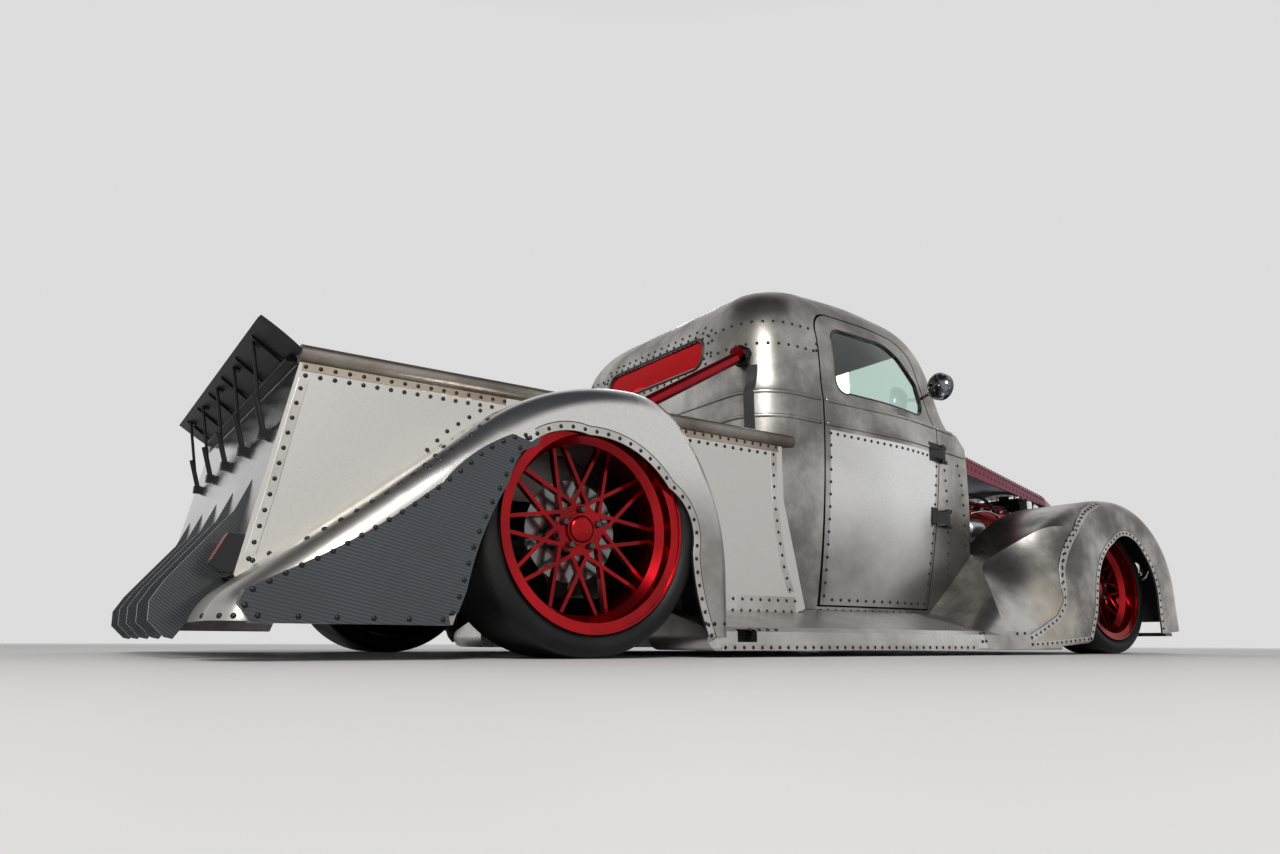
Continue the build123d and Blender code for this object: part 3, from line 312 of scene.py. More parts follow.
class Wire:
    """A socket of a finish that can be added, multiplied and compared."""

    def __init__(self, finish, socket):
        self.finish, self.socket = finish, socket

    __add__ = __radd__ = sign("ADD")
    __mul__ = __rmul__ = sign("MULTIPLY")
    __sub__ = sign("SUBTRACT")
    __pow__ = sign("POWER")
    __gt__ = sign("GREATER_THAN")
    __lt__ = sign("LESS_THAN")
    sine = sign("SINE")
    size = sign("ABSOLUTE")

    def __rsub__(self, other):
        return self.finish.node("Math", {"operation": "SUBTRACT"}, {0: other, 1: self})

    def ripple(self, step):
        """A wave from nought to one, a crest to each step: (sin(2 pi x / step) + 1) / 2."""
        return (self * (6.2832 / step)).sine() * 0.5 + 0.5

    def between(self, low, high):
        """Nought below low, one above high, and a smooth step between them."""
        return self.finish.node("MapRange", {"interpolation_type": "SMOOTHSTEP"},
                                {"Value": self, "From Min": low, "From Max": high})


class Finish:
    """A material whose nodes read the truck's own coordinates, or a world's that read the way looked."""

    def __init__(self, name, world=None):
        self.owner = world or bpy.data.materials.new(name)
        self.owner.use_nodes = True
        self.tree = self.owner.node_tree
        self.tree.nodes.clear()
        self.place = self.node("TexCoord", out="Generated" if world else "Object")
        self.x, self.y, self.z = self.parts(self.place)

    def parts(self, vector):
        """The three shares of a vector."""
        return [self.node("SeparateXYZ", None, {0: vector}, out=k) for k in "XYZ"]

    def facing(self, middle):
        """How far a face looks away from a middle: the sum of normal times offset over the axes given."""
        normal = self.parts(self.node("NewGeometry", out="Normal"))
        total = 0
        for n, at, centre in zip(normal, (self.x, self.y, self.z), middle):
            if centre is not None:
                total = n * (at - centre) + total
        return total

    def from_axle(self, axle):
        """How far a spot is from an axle in the side view."""
        x, z = self.x - axle[0], self.z - axle[1]
        return (x * x + z * z) ** 0.5

    def node(self, kind, settings=None, sockets=None, out=0):
        """A new node with its choices and sockets set, given back as one of its outputs."""
        node = self.tree.nodes.new("ShaderNode" + kind)
        for key, value in (settings or {}).items():
            setattr(node, key, value)
        for key, value in (sockets or {}).items():
            if isinstance(value, Wire):
                self.tree.links.new(value.socket, node.inputs[key])
            else:
                node.inputs[key].default_value = value
        return None if out is None else Wire(self, node.outputs[out])

    def noise(self, scale, detail=4.0, stretch=None, rough=0.55):
        """Cloudy noise in the truck's coordinates, drawn out along an axis by a stretch."""
        place = self.place
        if stretch:
            place = self.node("Mapping", None, {"Vector": place, "Scale": stretch})
        return self.node("TexNoise", None,
                         {"Vector": place, "Scale": scale, "Detail": detail, "Roughness": rough})

    def blend(self, mask, a, b):
        """Colour a where the mask is nought and b where it is one."""
        a, b = (c if isinstance(c, Wire) else (*c, 1) for c in (a, b))
        return self.node("Mix", {"data_type": "RGBA"}, {0: mask, 6: a, 7: b}, out=2)

    def bump(self, height, distance, under=None):
        """The normal of a relief, laid over another relief's if one is given."""
        below = {"Normal": under} if under else {}
        return self.node("Bump", None, {"Height": height, "Distance": distance, "Strength": 1.0, **below})

    def done(self, **sockets):
        """The surface itself; a keyword's underscores are the spaces of the socket's name."""
        shader = self.node("BsdfPrincipled", None, {key.replace("_", " "): v for key, v in sockets.items()})
        self.node("OutputMaterial", None, {"Surface": shader}, out=None)
        return self.owner


# %% [markdown]
# Bare steel is never one grey.  It is brushed along the panel, clouded where hands and rain have
# been, browned in spots, and it waves a little where it was beaten to shape.  Noises at five scales
# give that: a cloud for tone, spots for the brown, a stretched grain for the brush marks, fine
# flecks, and a soft swell for the metal's own waves.

# %% Bare metal
BROWN, UNDERCOAT = (0.30, 0.20, 0.11), (0.016, 0.016, 0.018)


def steel(name, light, dark, brown=0.15, rough=0.30, swell=0.0012, grain=0.00006, polish_and_painted_light=None,
          brush=(3.0, 30.0, 30.0), lining=None):
    """Bare steel: light and dark tones, a share of brown, a zone of polish and painted light, and a dark
    lining if given.
    """
    f = Finish(name)
    cloud = f.noise(2.6, 7, rough=0.62).between(0.34, 0.68)
    spots = f.noise(17, 5, rough=0.7).between(0.52, 0.80)
    lines = f.noise(26, 3, stretch=brush)
    fleck = f.noise(420, 2)
    colour = f.blend(cloud, dark, light)
    colour = f.blend(spots * brown, colour, BROWN)
    tone = ((lines - 0.5) * 0.22 + (fleck - 0.5) * 0.10) * 0.5
    grey = f.node("CombineXYZ", None, {0: tone, 1: tone, 2: tone})
    colour = f.node("MixRGB", {"blend_type": "ADD"}, {0: 1.0, 1: colour, 2: grey})
    roughness = rough + (1 - cloud) * 0.12 + (lines - 0.5) * 0.16 + spots * 0.10
    waves = f.bump(f.noise(5.5, 2), swell)
    normal = f.bump(lines + fleck * 0.6, grain, under=waves)
    # The zone holds real polish, heat tint and sanding, and painted light too: a highlight on the rear
    # fender's crest and shade towards the door panel's foot and rear.
    if polish_and_painted_light:
        mask, bright, smooth = polish_and_painted_light(f)
        colour = f.blend(mask, colour, f.blend(fleck.between(0.35, 0.75) * 0.35, bright, dark))
        roughness = roughness * (1 - mask) + mask * (smooth + (fleck - 0.5) * 0.10 + (lines - 0.5) * 0.05)
    if lining is None:
        return f.done(Base_Color=colour, Metallic=1.0, Roughness=roughness, Normal=normal)
    hidden = lining(f)
    return f.done(Base_Color=f.blend(hidden, colour, UNDERCOAT), Metallic=1 - hidden,
                  Roughness=roughness + hidden * 0.4, Normal=normal)


def hinge_zone(f):
    """The door hinges' barrels, which stand off the skin at two heights."""
    low = (f.z > 0.535) * (f.z < 0.621)
    high = (f.z > 0.825) * (f.z < 0.911)
    return (low + high) * (f.x > 0.655) * (f.x < 0.825) * (f.y.size() > 0.672)


def inside_cab(f):
    """The cab's inner faces, which look towards its middle, and the hinges' dark barrels."""
    return ((f.facing((0.25, 0.0, 1.0)) < 0.0) + hinge_zone(f)).between(0.4, 0.6)


def inside_arch(axle, start):
    """Undercoat on the faces of a fender that look at its wheel, ahead of a start."""
    return lambda f: (f.facing((axle[0], None, axle[1])) < -0.06) * (f.x > start)


def door_panel(f):
    """The door's lower panel, polished bright inside its slanted row of rivets, with painted shade that
    fades the polish towards its foot and its rear.
    """
    front = f.x - (f.z - 0.821) * 0.143
    inside = (1 - f.z.between(0.862, 0.868)) * f.x.between(0.004, 0.010) * (1 - front.between(0.714, 0.720))
    shade_fade = f.z.between(0.26, 0.66) * 0.55 + f.x.between(0.10, 0.45) * 0.30 + 0.15
    return inside * shade_fade, (0.96, 0.96, 0.96), 0.30


def tail_panel(f):
    """The tailgate's polished middle."""
    return f.z.between(0.20, 0.60), (0.46, 0.46, 0.46), 0.13


def outlet_near_black(f):
    """Near black inside the outlet that is cut in the running board's rear end."""
    along = f.x.between(-0.7065, -0.7055) * (1 - f.x.between(-0.6245, -0.6235))
    return along * (f.z < 0.0855) * (f.z > 0.0445) * (f.y.size() < 0.9485), (0.004, 0.004, 0.004), 0.7


def bed_panel(f):
    """The bed's flat sides, evenly sanded and bright."""
    return f.noise(1.3, 2).between(0.10, 0.42), (0.66, 0.645, 0.61), 0.36


def crown_highlight(f):
    """The crest of a fender, where it turns over its wheel: polished smooth, with a painted highlight that
    brightens it from a height up.
    """
    return f.z.between(0.30, 0.62), (0.80, 0.79, 0.77), 0.20


def heat_tint(f):
    """Cream and straw colours where heat has been, at the foot of the fender's sweep."""
    sweep = f.x.between(0.88, 1.02) * (1 - f.x.between(1.06, 1.30))
    return sweep * (1 - f.z.between(0.14, 0.46)) * 0.6, (0.62, 0.55, 0.43), 0.24


cab_metal = steel("cab steel", (0.56, 0.545, 0.515), (0.19, 0.18, 0.165), brown=0.30, rough=0.27,
                  lining=inside_cab)
door_metal = steel("door steel", (0.52, 0.505, 0.48), (0.18, 0.17, 0.155), brown=0.22, rough=0.26,
                   polish_and_painted_light=door_panel, lining=hinge_zone)
bed_metal = steel("bed panel steel", (0.60, 0.585, 0.55), (0.40, 0.385, 0.355), brown=0.06, rough=0.38,
                  swell=0.0004, grain=0.0001, polish_and_painted_light=bed_panel, brush=(12.0, 12.0, 12.0))
rear_crown = steel("rear fender steel", (0.52, 0.505, 0.48), (0.27, 0.255, 0.235), brown=0.22, rough=0.26,
                   polish_and_painted_light=crown_highlight, swell=0.002, lining=inside_arch(REAR, -2.0))
front_crown = steel("front fender steel", (0.58, 0.56, 0.53), (0.13, 0.12, 0.11), brown=0.12, rough=0.24,
                    polish_and_painted_light=heat_tint, swell=0.0016, lining=inside_arch(FRONT, 1.1))
board_metal = steel("board steel", (0.76, 0.755, 0.74), (0.46, 0.45, 0.435), brown=0.14, rough=0.26,
                    polish_and_painted_light=outlet_near_black)
shell_metal = steel("grille shell steel", (0.52, 0.50, 0.475), (0.26, 0.245, 0.225), brown=0.2, rough=0.27)
rail_metal = steel("browned rail", (0.34, 0.31, 0.275), (0.13, 0.11, 0.095), brown=0.5, rough=0.34)
tail_metal = steel("tailgate steel", (0.55, 0.54, 0.53), (0.20, 0.195, 0.19), brown=0.1, rough=0.18,
                   polish_and_painted_light=tail_panel)
strip_metal = steel("flange strip", (0.70, 0.685, 0.655), (0.42, 0.40, 0.37), brown=0.12, rough=0.34)
brown_strip = steel("brown flange strip", (0.46, 0.40, 0.33), (0.27, 0.215, 0.165), brown=0.45, rough=0.42)
inner_metal = steel("bed floor steel", (0.48, 0.47, 0.45), (0.25, 0.24, 0.22), brown=0.25, rough=0.36)
print("bare metal finishes made")

# %% [markdown]
# Candy red is a clear red over bright metal, under a coat.  The metal glows through the colour, so
# it is a metallic base with a saturated tint and a smooth coat.  In a wheel's barrel a mask darkens
# it behind the lip, a painted shade for the depth of the barrel.  Black parts are satin, and the
# carbon is a twill: two sets of diagonal bands, one wide and one narrow, whose sum parts light thread
# from dark.  HOOD_FALL is how far the hood's paint line drops for each metre towards the nose, and
# DISC is the radius of a brake disc.

# %% Colours
HOOD_FALL, DISC = 0.0757, 0.152


def candy(name, colour, deep, painted_shade=None, end=None, bare=(0.012, 0.012, 0.013)):
    """Clear colour over metal flake.  A painted shade, where given, darkens it to near black; an end tells
    where it stops.
    """
    f = Finish(name)
    drift = f.noise(6, 3).between(0.3, 0.7)
    flake = f.noise(900, 1)
    tone = f.blend(drift, deep, colour)
    # Painted shade: the mask darkens the colour towards near black, as in a wheel's deep barrel.
    if painted_shade:
        tone = f.blend(painted_shade(f), (0.03, 0.0, 0.001), tone)
    if end:
        tone = f.blend(end(f), tone, bare)
    return f.done(Base_Color=tone, Metallic=0.95, Roughness=0.2 + (flake - 0.5) * 0.12, Coat_Weight=0.28,
                  Coat_Roughness=0.05, Normal=f.bump(f.noise(240, 2), 0.00003))


def wheel_red(end, axle, deep, lip, plane):
    """Red darkened by painted shade from a wheel's lip into its barrel, and stopped at the machined disc
    inside a plane.
    """
    return candy(f"candy red {end} wheel", (0.46, 0.003, 0.008), (0.24, 0.001, 0.004),
                 painted_shade=lambda f: f.y.size().between(deep, lip),
                 end=lambda f: (f.from_axle(axle) < DISC) * (f.y.size() < plane), bare=(0.20, 0.20, 0.20))


def brace_flange(f):
    """The rubber ring where a brace meets the cab."""
    return f.x.between(-0.3755, -0.3735)


def hood_top(f):
    """The hood's bare skin, above a line that falls towards the nose."""
    return (f.z + (f.x - 1.05) * HOOD_FALL).between(0.906, 0.911)


def plain(name, colour, worn, metal=0.0, rough=0.4, scale=40.0, depth=0.00006, coat=0.0, scuffs=0.35,
          gloss=0.5):
    """A painted, moulded or cast surface with scuffs and a fine texture; gloss is its specular level."""
    f = Finish(name)
    scuff = f.noise(scale * 0.35, 5, rough=0.7).between(0.5, 0.85)
    pores = f.noise(scale * 12, 3)
    return f.done(Base_Color=f.blend(scuff * scuffs, colour, worn), Metallic=metal, Coat_Weight=coat,
                  Specular_IOR_Level=gloss, Roughness=rough + scuff * 0.14 + (pores - 0.5) * 0.12,
                  Normal=f.bump(pores, depth))


def twill(name, dark, light, thread, slope):
    """Carbon cloth: diagonal bands of light and dark thread under clear resin."""
    f = Finish(name)
    rise = (f.x * slope + f.z + f.y * 0.5).ripple(thread)
    cross = (f.x - f.z * 0.4 + f.y * 0.5).ripple(thread * 0.55)
    weave = rise * 0.75 + cross * 0.25
    drift = f.noise(3, 3).between(0.3, 0.7)
    colour = f.blend(weave.between(0.2, 0.85), dark, light)
    return f.done(Base_Color=f.blend(drift * 0.35, colour, dark), Metallic=0.2, Coat_Weight=0.5,
                  Roughness=0.40 - weave * 0.06, Coat_Roughness=0.10, Normal=f.bump(weave, 0.00012))


def two_tone(name, below, above):
    """Paint on the flange and bare blue grey steel above it, parted by a sharp line."""
    f = Finish(name)
    top = hood_top(f)
    cloud = f.noise(5, 5).between(0.3, 0.7)
    upper = f.blend(cloud, tuple(0.62 * c for c in above), above)
    return f.done(Base_Color=f.blend(top, below, upper), Metallic=0.9, Roughness=0.30 + cloud * 0.1,
                  Normal=f.bump(f.noise(60, 3), 0.00008))


def lamp_housing(name):
    """A black housing whose upper rear face is a red lens."""
    f = Finish(name)
    normal = f.parts(f.node("NewGeometry", out="Normal"))
    lens = (normal[0] < -0.6) * (f.z > 0.236)
    return f.done(Base_Color=f.blend(lens, (0.006, 0.006, 0.007), (0.30, 0.003, 0.005)), Coat_Weight=0.3,
                  Specular_IOR_Level=0.3, Roughness=0.16 + f.noise(70, 3) * 0.1,
                  Normal=f.bump(f.y.ripple(0.006) * lens, 0.0006))


def rubber(name, axle, radius):
    """Tyre rubber: smooth walls with faint moulded rings outside a radius about the axle."""
    f = Finish(name)
    far = f.from_axle(axle)
    rings = ((far - radius) * 1250).sine() * far.between(radius + 0.006, radius + 0.012)
    dust = f.noise(7, 5).between(0.4, 0.75)
    return f.done(Base_Color=f.blend(dust * 0.5, (0.005, 0.005, 0.0055), (0.022, 0.021, 0.020)),
                  Specular_IOR_Level=0.22, Roughness=0.46 + dust * 0.2,
                  Normal=f.bump(rings * 0.4 + f.noise(300, 3) * 0.4, 0.0004))


def glass(name, colour, rough=0.0, bend=1.45, clear=1.0):
    """Glass with a faint film of dust, which shows as roughness; clear is the share it lets through."""
    f = Finish(name)
    film = f.noise(9, 4).between(0.45, 0.8)
    return f.done(Base_Color=(*colour, 1), Roughness=rough + film * 0.05, IOR=bend,
                  Transmission_Weight=clear)


def leather(name, colour, deep):
    """Leather: small cells with creases between them, worn a little lighter on the crowns."""
    f = Finish(name)
    cells = f.node("TexVoronoi", {"feature": "DISTANCE_TO_EDGE"}, {"Vector": f.place, "Scale": 260.0})
    wear = f.noise(9, 5).between(0.45, 0.8)
    return f.done(Base_Color=f.blend(wear * 0.6, deep, colour), Roughness=0.42 + wear * 0.14,
                  Normal=f.bump(cells.between(0.0, 0.18), 0.0004))


def fins(name, colour, step):
    """A radiator's core: close rows of folded fins, shown by relief and tone."""
    f = Finish(name)
    rows, tubes = f.z.ripple(step), f.y.ripple(0.012)
    return f.done(Base_Color=f.blend(rows * 0.7, (0.03, 0.03, 0.03), colour), Metallic=0.8,
                  Roughness=0.45 + tubes * 0.1, Normal=f.bump(rows + tubes * 0.5, 0.0015))


red_rear = wheel_red("rear", REAR, 0.74, 0.93, 0.822)
red_front = wheel_red("front", FRONT, 0.69, 0.86, 0.770)
red_paint = candy("candy red paint", (0.42, 0.003, 0.008), (0.24, 0.002, 0.005))
brace_red = candy("candy red brace", (0.36, 0.002, 0.010), (0.22, 0.001, 0.006), end=brace_flange)
hood_paint = two_tone("hood", (0.20, 0.002, 0.030), (0.30, 0.33, 0.39))
black_satin = plain("black satin", (0.012, 0.012, 0.013), (0.05, 0.048, 0.045), rough=0.38)
wing_black = plain("wing black", (0.008, 0.008, 0.009), (0.025, 0.024, 0.023), rough=0.42, gloss=0.18,
                   scuffs=0.2)
black_gloss = plain("black gloss", (0.009, 0.009, 0.011), (0.03, 0.03, 0.034), rough=0.2, coat=0.8,
                    scuffs=0.2)
chassis = plain("chassis black", (0.014, 0.014, 0.015), (0.045, 0.04, 0.035), rough=0.5)
iron = plain("cast iron", (0.075, 0.075, 0.078), (0.15, 0.11, 0.08), metal=0.6, rough=0.55, depth=0.0003)
alloy = plain("cast alloy", (0.50, 0.50, 0.50), (0.32, 0.31, 0.30), metal=1.0, rough=0.34, depth=0.0001)
chrome = plain("chrome", (0.80, 0.80, 0.81), (0.62, 0.61, 0.60), metal=1.0, rough=0.07, depth=0.00001,
               scuffs=0.3)
silver = plain("machined brake", (0.52, 0.52, 0.52), (0.34, 0.33, 0.32), metal=1.0, rough=0.3)
rivet_black = plain("black rivets", (0.012, 0.012, 0.014), (0.10, 0.10, 0.11), metal=0.5, rough=0.26,
                    scuffs=0.4, scale=90)
carbon = twill("carbon twill", (0.018, 0.022, 0.027), (0.046, 0.055, 0.065), 0.0085, 0.22)
fin_carbon = twill("carbon fins", (0.012, 0.013, 0.015), (0.062, 0.066, 0.070), 0.0085, 0.75)
hose_rubber = plain("hose rubber", (0.015, 0.015, 0.016), (0.05, 0.05, 0.05), rough=0.55)
mirror_glass = plain("mirror glass", (0.20, 0.21, 0.23), (0.17, 0.18, 0.19), metal=1.0, rough=0.03,
                     depth=0.000002, scuffs=0.1)
seat_hide = leather("seat leather", (0.16, 0.075, 0.045), (0.085, 0.035, 0.022))
core = fins("radiator core", (0.36, 0.36, 0.35), 0.004)
green_glass = glass("pale green glass", (0.80, 0.93, 0.88))
red_glass = glass("red tinted glass", (0.62, 0.006, 0.010), bend=1.12, clear=0.45)
lens_glass = glass("lamp lens", (0.93, 0.95, 0.97), rough=0.06)
lens_red = lamp_housing("tail lamp")
rear_rubber = rubber("rear tyre", REAR, 0.297)
front_rubber = rubber("front tyre", FRONT, 0.243)
print("colours made,", len(bpy.data.materials), "materials in all")

# %% [markdown]
# Each node of the frame takes one finish.  The print names any node that is left bare.

# %% Finishes onto the frame's nodes
FINISHES = (
    (cab_metal, "cab_shell"), (door_metal, "door_right door_left"), (shell_metal, "dashboard grille_shell"),
    (front_crown, "front_fenders"), (rear_crown, "rear_fenders"), (board_metal, "running_boards"),
    (bed_metal, "bed_sides"), (rail_metal, "bed_rails"),
    (inner_metal, "bed_floor wheel_tubs bed_front_panel"), (tail_metal, "tailgate"),
    (carbon, "rear_skirts"), (fin_carbon, "diffuser"), (wing_black, "rear_wing wing_stays"),
    (lens_red, "tail_lamps"), (brace_red, "down_tubes"), (hood_paint, "hood_lid"),
    (silver, "hood_hinges knuckle_right knuckle_left"), (chrome, "grille_bars exhaust_headers"),
    (lens_glass, "headlamps"), (black_satin, "front_splitter steering_wheel"), (iron, "engine_block"),
    (red_paint, "valve_covers intake"), (core, "radiator"),
    (chassis, "rear_axle front_axle frame_rails cab_floor"), (red_glass, "rear_window_glass"),
    (green_glass, "windscreen_glass door_glass_right door_glass_left"), (seat_hide, "seats"),
    (black_gloss, "mirror_right mirror_left"), (red_rear, "rear_rim_right rear_rim_left"),
    (red_front, "front_rim_right front_rim_left"), (rear_rubber, "rear_tyre_right rear_tyre_left"),
    (front_rubber, "front_tyre_right front_tyre_left"),
)
DRESS = {name: finish for finish, names in FINISHES for name in names.split()}
for name, finish in DRESS.items():
    for slot in NODES[name].material_slots:
        slot.material = finish
print("dressed", len(DRESS), "of", len(NODES), "nodes; left:", sorted(set(NODES) - set(DRESS)))

# %% [markdown]
# The rivets are what makes this body.  They are black domes some 14 mm across, in rows that follow
# every seam.  Each row is a chain of side view points with a step; rays lay it on the skin, and one
# small turned dome is set at each spot, square to the metal.  Rows on a door ride on the door.

# %% Rows of rivets
DOME_SIDES = 8
DOME = [(0.0068, -0.0006), (0.0066, 0.0010), (0.0050, 0.0030), (0.0026, 0.0041), (0.0003, 0.0044)]
REAR_ARCH = outline([(395, 40), ((338, 210), (327, 305)), ((300, 440), (240, 490)), ((110, 590), (-40, 614)),
                     ((-190, 592), (-290, 450)), ((-365, 280), (-392, 167)), (-414, 107)])
FRONT_ARCH = outline([(2577, 62), (2645, 176), (2677, 273), ((2735, 405), (2863, 504)),
                      ((3010, 546), (3140, 470)), ((3200, 390), (3224, 239)), (3219, 120)])
SEAM = [(2818, 688), (2679, 640), (2592, 583), (2518, 515), (2462, 441), (2421, 369), (2396, 279),
        (2388, 211), (2323, 149), (2195, 98), (2108, 69)]
INNER_SEAM = [(2774, 680), (2640, 621), (2531, 545), (2472, 483), (2434, 397), (2394, 299)]
SKIRT_TOP = [(-242, 585), (-288, 570), (-356, 530), (-413, 475), (-472, 424), (-532, 374), (-598, 327),
             (-664, 283), (-729, 240), (-793, 207), (-856, 169), (-890, 149), (-898, 118)]
rear_half = REAR_ARCH[REAR_ARCH[:, 0] < -215]
fore_half = REAR_ARCH[REAR_ARCH[:, 0] > -215]
arch_row = np.vstack([beside(fore_half, -11)[::-1], [[372, 99]]])
BODY_ROWS = [
    ([(-762, 751), (-181, 751)], 38.7), ([(-761, 727), (-221, 727)], 38.7),
    ([(-770, 690), (-790, 567), (-814, 418), (-836, 307), (-849, 240)], 41),
    ([(-258, 710), (-352, 638), (-430, 552), (-514, 467), (-601, 393), (-695, 326), (-786, 264),
      (-840, 236)], 43),
    ([(-325, 631), (-386, 571), (-439, 525), (-494, 474)], 38), (SKIRT_TOP, 37),
    ([(-870, 97), (-450, 95)], 84), ([(-965, 96), (-915, 96)], 25),
    (arch_row, 40), ([(406, 98), (453, 99)], 47),
    ([(514, 756), (940, 756)], 38.7), ([(533, 727), (926, 727)], 39.3),
    ([(925, 690), (925, 556), (939, 433), (961, 311), (985, 232)], 41),
    ([(671, 192), (1009, 192)], 42), ([(670, 153), (1030, 153)], 40), ([(470, 30), (1708, 30)], 37),
    ([(580, 84), (690, 84)], 37), ([(1766, 82), (1769, 52)], 30), ([(1796, 85), (1792, 54)], 30),
    ([(2007, 84), (2060, 86)], 53), (SEAM, 35), (INNER_SEAM, 36), ([(2108, 42), (2278, 48), (2540, 66)], 37),
    (beside(FRONT_ARCH, 12), 33),
    ([(2012, 845), (2024, 716), (2032, 517), (2042, 340)], 46),
    ([(2147, 839), (2176, 749), (2187, 613), (2192, 479)], 44),
    ([(1215, 166), (1760, 166)], 42), ([(1188, 1190), (1204, 1280)], 30),
]
CAB_ROWS = [(1284, -88, -14, 26), (1186, -98, -24, 26)]
DOOR_ROWS = [
    ([(1234, 851), (1227, 221)], 48), ([(1273, 851), (1942, 845)], 39),
    ([(1941, 806), (1922, 671), (1901, 524), (1880, 376), (1868, 292)], 42),
    ([(1273, 207), (1846, 207)], 46),
]
body_tree = skin_of("bed_sides", "rear_fenders", "front_fenders", "running_boards", "cab_shell",
                    "rear_skirts")
cab_tree = skin_of("cab_shell")
door_tree = skin_of("door_right")
laid = [on_side(body_tree, spaced(row, step)) for row, step in BODY_ROWS]
laid += [around_cab(cab_tree, np.linspace(a, b, n), z) for z, a, b, n in CAB_ROWS]
ring = outline([(-300, 1128), (300, 1128), ((388, 1150), (394, 1222)), ((388, 1296), (300, 1318)),
                (-300, 1318), ((-388, 1296), (-394, 1222)), ((-388, 1150), (-300, 1128))])
rings = [from_behind(cab_tree, beside(spaced(ring, 52), gap)[:-1]) for gap in (-13, 13)]
spots, faces = stacked([both(*stacked(laid)), *rings])
make("rivets_body", lathes(spots, faces, DOME, DOME_SIDES), rivet_black)
print("rivets on the body", len(spots))

spots, faces = stacked(on_side(door_tree, spaced(row, step)) for row, step in DOOR_ROWS)
for side, flip in SIDES:
    form = lathes(spots * flip, faces * flip, DOME, DOME_SIDES)
    make("rivets_door_" + side, form, rivet_black, body="door_" + side)
print("rivets on each door", len(spots))

# %% [markdown]
# Under the rows lie light strips, where one sheet's edge laps the next.  On the real body they are
# folded flanges.  A flat profile with eased edges is carried along the row; it stands about a
# millimetre off the skin, enough to catch a line of light.

# %% Flange strips
def strip(tree, points, width, step=14, thick=0.0012):
    """A flat bar with eased edges along side view points, slightly sunk in the sheet, on both sides."""
    spots, faces = on_side(tree, spaced(points, step))
    faces = [np.convolve(np.pad(c, 2, mode="edge"), np.ones(5) / 5, "valid") for c in faces.T]
    w = width / 2000
    section = [(-w, -0.001), (-w, thick * 0.5), (-w + 0.0012, thick), (w - 0.0012, thick), (w, thick * 0.5),
               (w, -0.001)]
    return carried_twice(spots, unit(np.stack(faces, -1)), section)


def strips(name, rows, finish):
    """Strips joined as one piece."""
    make(name, joined([form for row in rows for form in row]), finish, smooth=False)


fender_tree = skin_of("rear_fenders", "front_fenders", "running_boards")
side_tree = skin_of("bed_sides", "cab_shell")
strips("flanges_light", [
    strip(fender_tree, beside(fore_half, -12)[::-1], 24), strip(fender_tree, beside(FRONT_ARCH, 12), 24),
    strip(fender_tree, SEAM, 30), strip(fender_tree, [(455, 31), (1740, 31)], 20, 40),
    strip(side_tree, [(928, 742), (926, 556), (940, 433), (962, 311), (992, 222)], 30),
    strip(side_tree, [(650, 173), (1010, 173)], 66),
    strip(fender_tree, [(2130, 43), (2280, 49), (2550, 67)], 18),
    strip(side_tree, [(-764, 716), (-790, 567), (-814, 418), (-836, 307), (-846, 252)], 26),
], strip_metal)
strips("flanges_brown", [
    strip(side_tree, [(-772, 751), (-175, 751)], 24), strip(side_tree, [(505, 751), (952, 751)], 24),
], brown_strip)
# Thin black bars beside the flanges: painted shade of the grooves pressed along them.
groove_shade_lines = (beside(fore_half, -25)[::-1], beside(FRONT_ARCH, 25), beside(SEAM, -17))
strips("groove_shade_lines", [strip(fender_tree, points, 2.4, 12, 0.0016) for points in groove_shade_lines], black_satin)
print("flange strips laid")

# %% [markdown]
# Two raised beads run round the cab under the windows, pressed into the real sheet.  A half round
# profile is carried along each height, on the cab's back, its corner and cowl, and again on the door,
# so each length moves with its own panel.

# %% Belt beads
BEAD = [(0.0085 * np.cos(t), 0.0062 * np.sin(t) - 0.0012) for t in np.linspace(np.pi, 0, 9)]
bead_parts = []
for z, cowl_end in ((984, 2118), (888, 2225)):
    bead_parts.append(carried(*around_cab(cab_tree, np.linspace(-69.5, 69.5, 120), z), BEAD))
    bead_parts += carried_twice(*on_side(cab_tree, level(1975, cowl_end, z, 12)), BEAD)
    across = carried_twice(*on_side(door_tree, level(1212, 1953, z, 54)), BEAD)
    for (side, _), form in zip(SIDES, across):
        make(f"bead_door_{side}_{z}", form, door_metal, "door_" + side)
make("beads_cab", joined(bead_parts), cab_metal)
print("beads on the cab", len(bead_parts), "lengths")

# %% [markdown]
# Rubber channels hold the glass.  A thin round seal follows each window's outline: the same drawn
# outline as the opening, laid on the door or on the cab's back by rays.

# %% Window seals
DOOR_WINDOW = outline([(1290, 1080), (1290, 1255), ((1308, 1298), (1355, 1313)), (1539, 1309),
                       ((1680, 1298), (1747, 1268)), (1863, 1173), (1889, 1088),
                       ((1870, 1045), (1830, 1031)), (1360, 1038), ((1310, 1045), (1290, 1080))])
seal, faces = on_side(door_tree, beside(spaced(DOOR_WINDOW, 12), 4))
for side, flip in SIDES:
    form = carried(seal * flip - faces * flip * 0.002, faces * flip, circle(0.0045, 8), ends=False)
    make("seal_" + side, form, black_satin, body="door_" + side)
rim = outline([(-305, 1157), (305, 1157), ((337, 1170), (355, 1207)), (355, 1240),
               ((337, 1275), (305, 1288)), (-305, 1288), ((-337, 1275), (-355, 1240)), (-355, 1207),
               ((-337, 1170), (-305, 1157))])
seal, faces = from_behind(cab_tree, beside(spaced(rim, 14), -3))
make("seal_rear_window", carried(seal, faces, circle(0.006, 8), ends=False), black_satin)
print("seals laid, the rear window's on", len(seal), "points")

# %% [markdown]
# The carbon skirt's front edge stops short of the wheel arch in the frame.  On the real truck the
# cloth runs on to the arch, so a thin patch of it is laid between the two edges, each row of the
# patch at one height.  LAP is its overlap with the skirt, CLOTH its distance from the truck's middle.

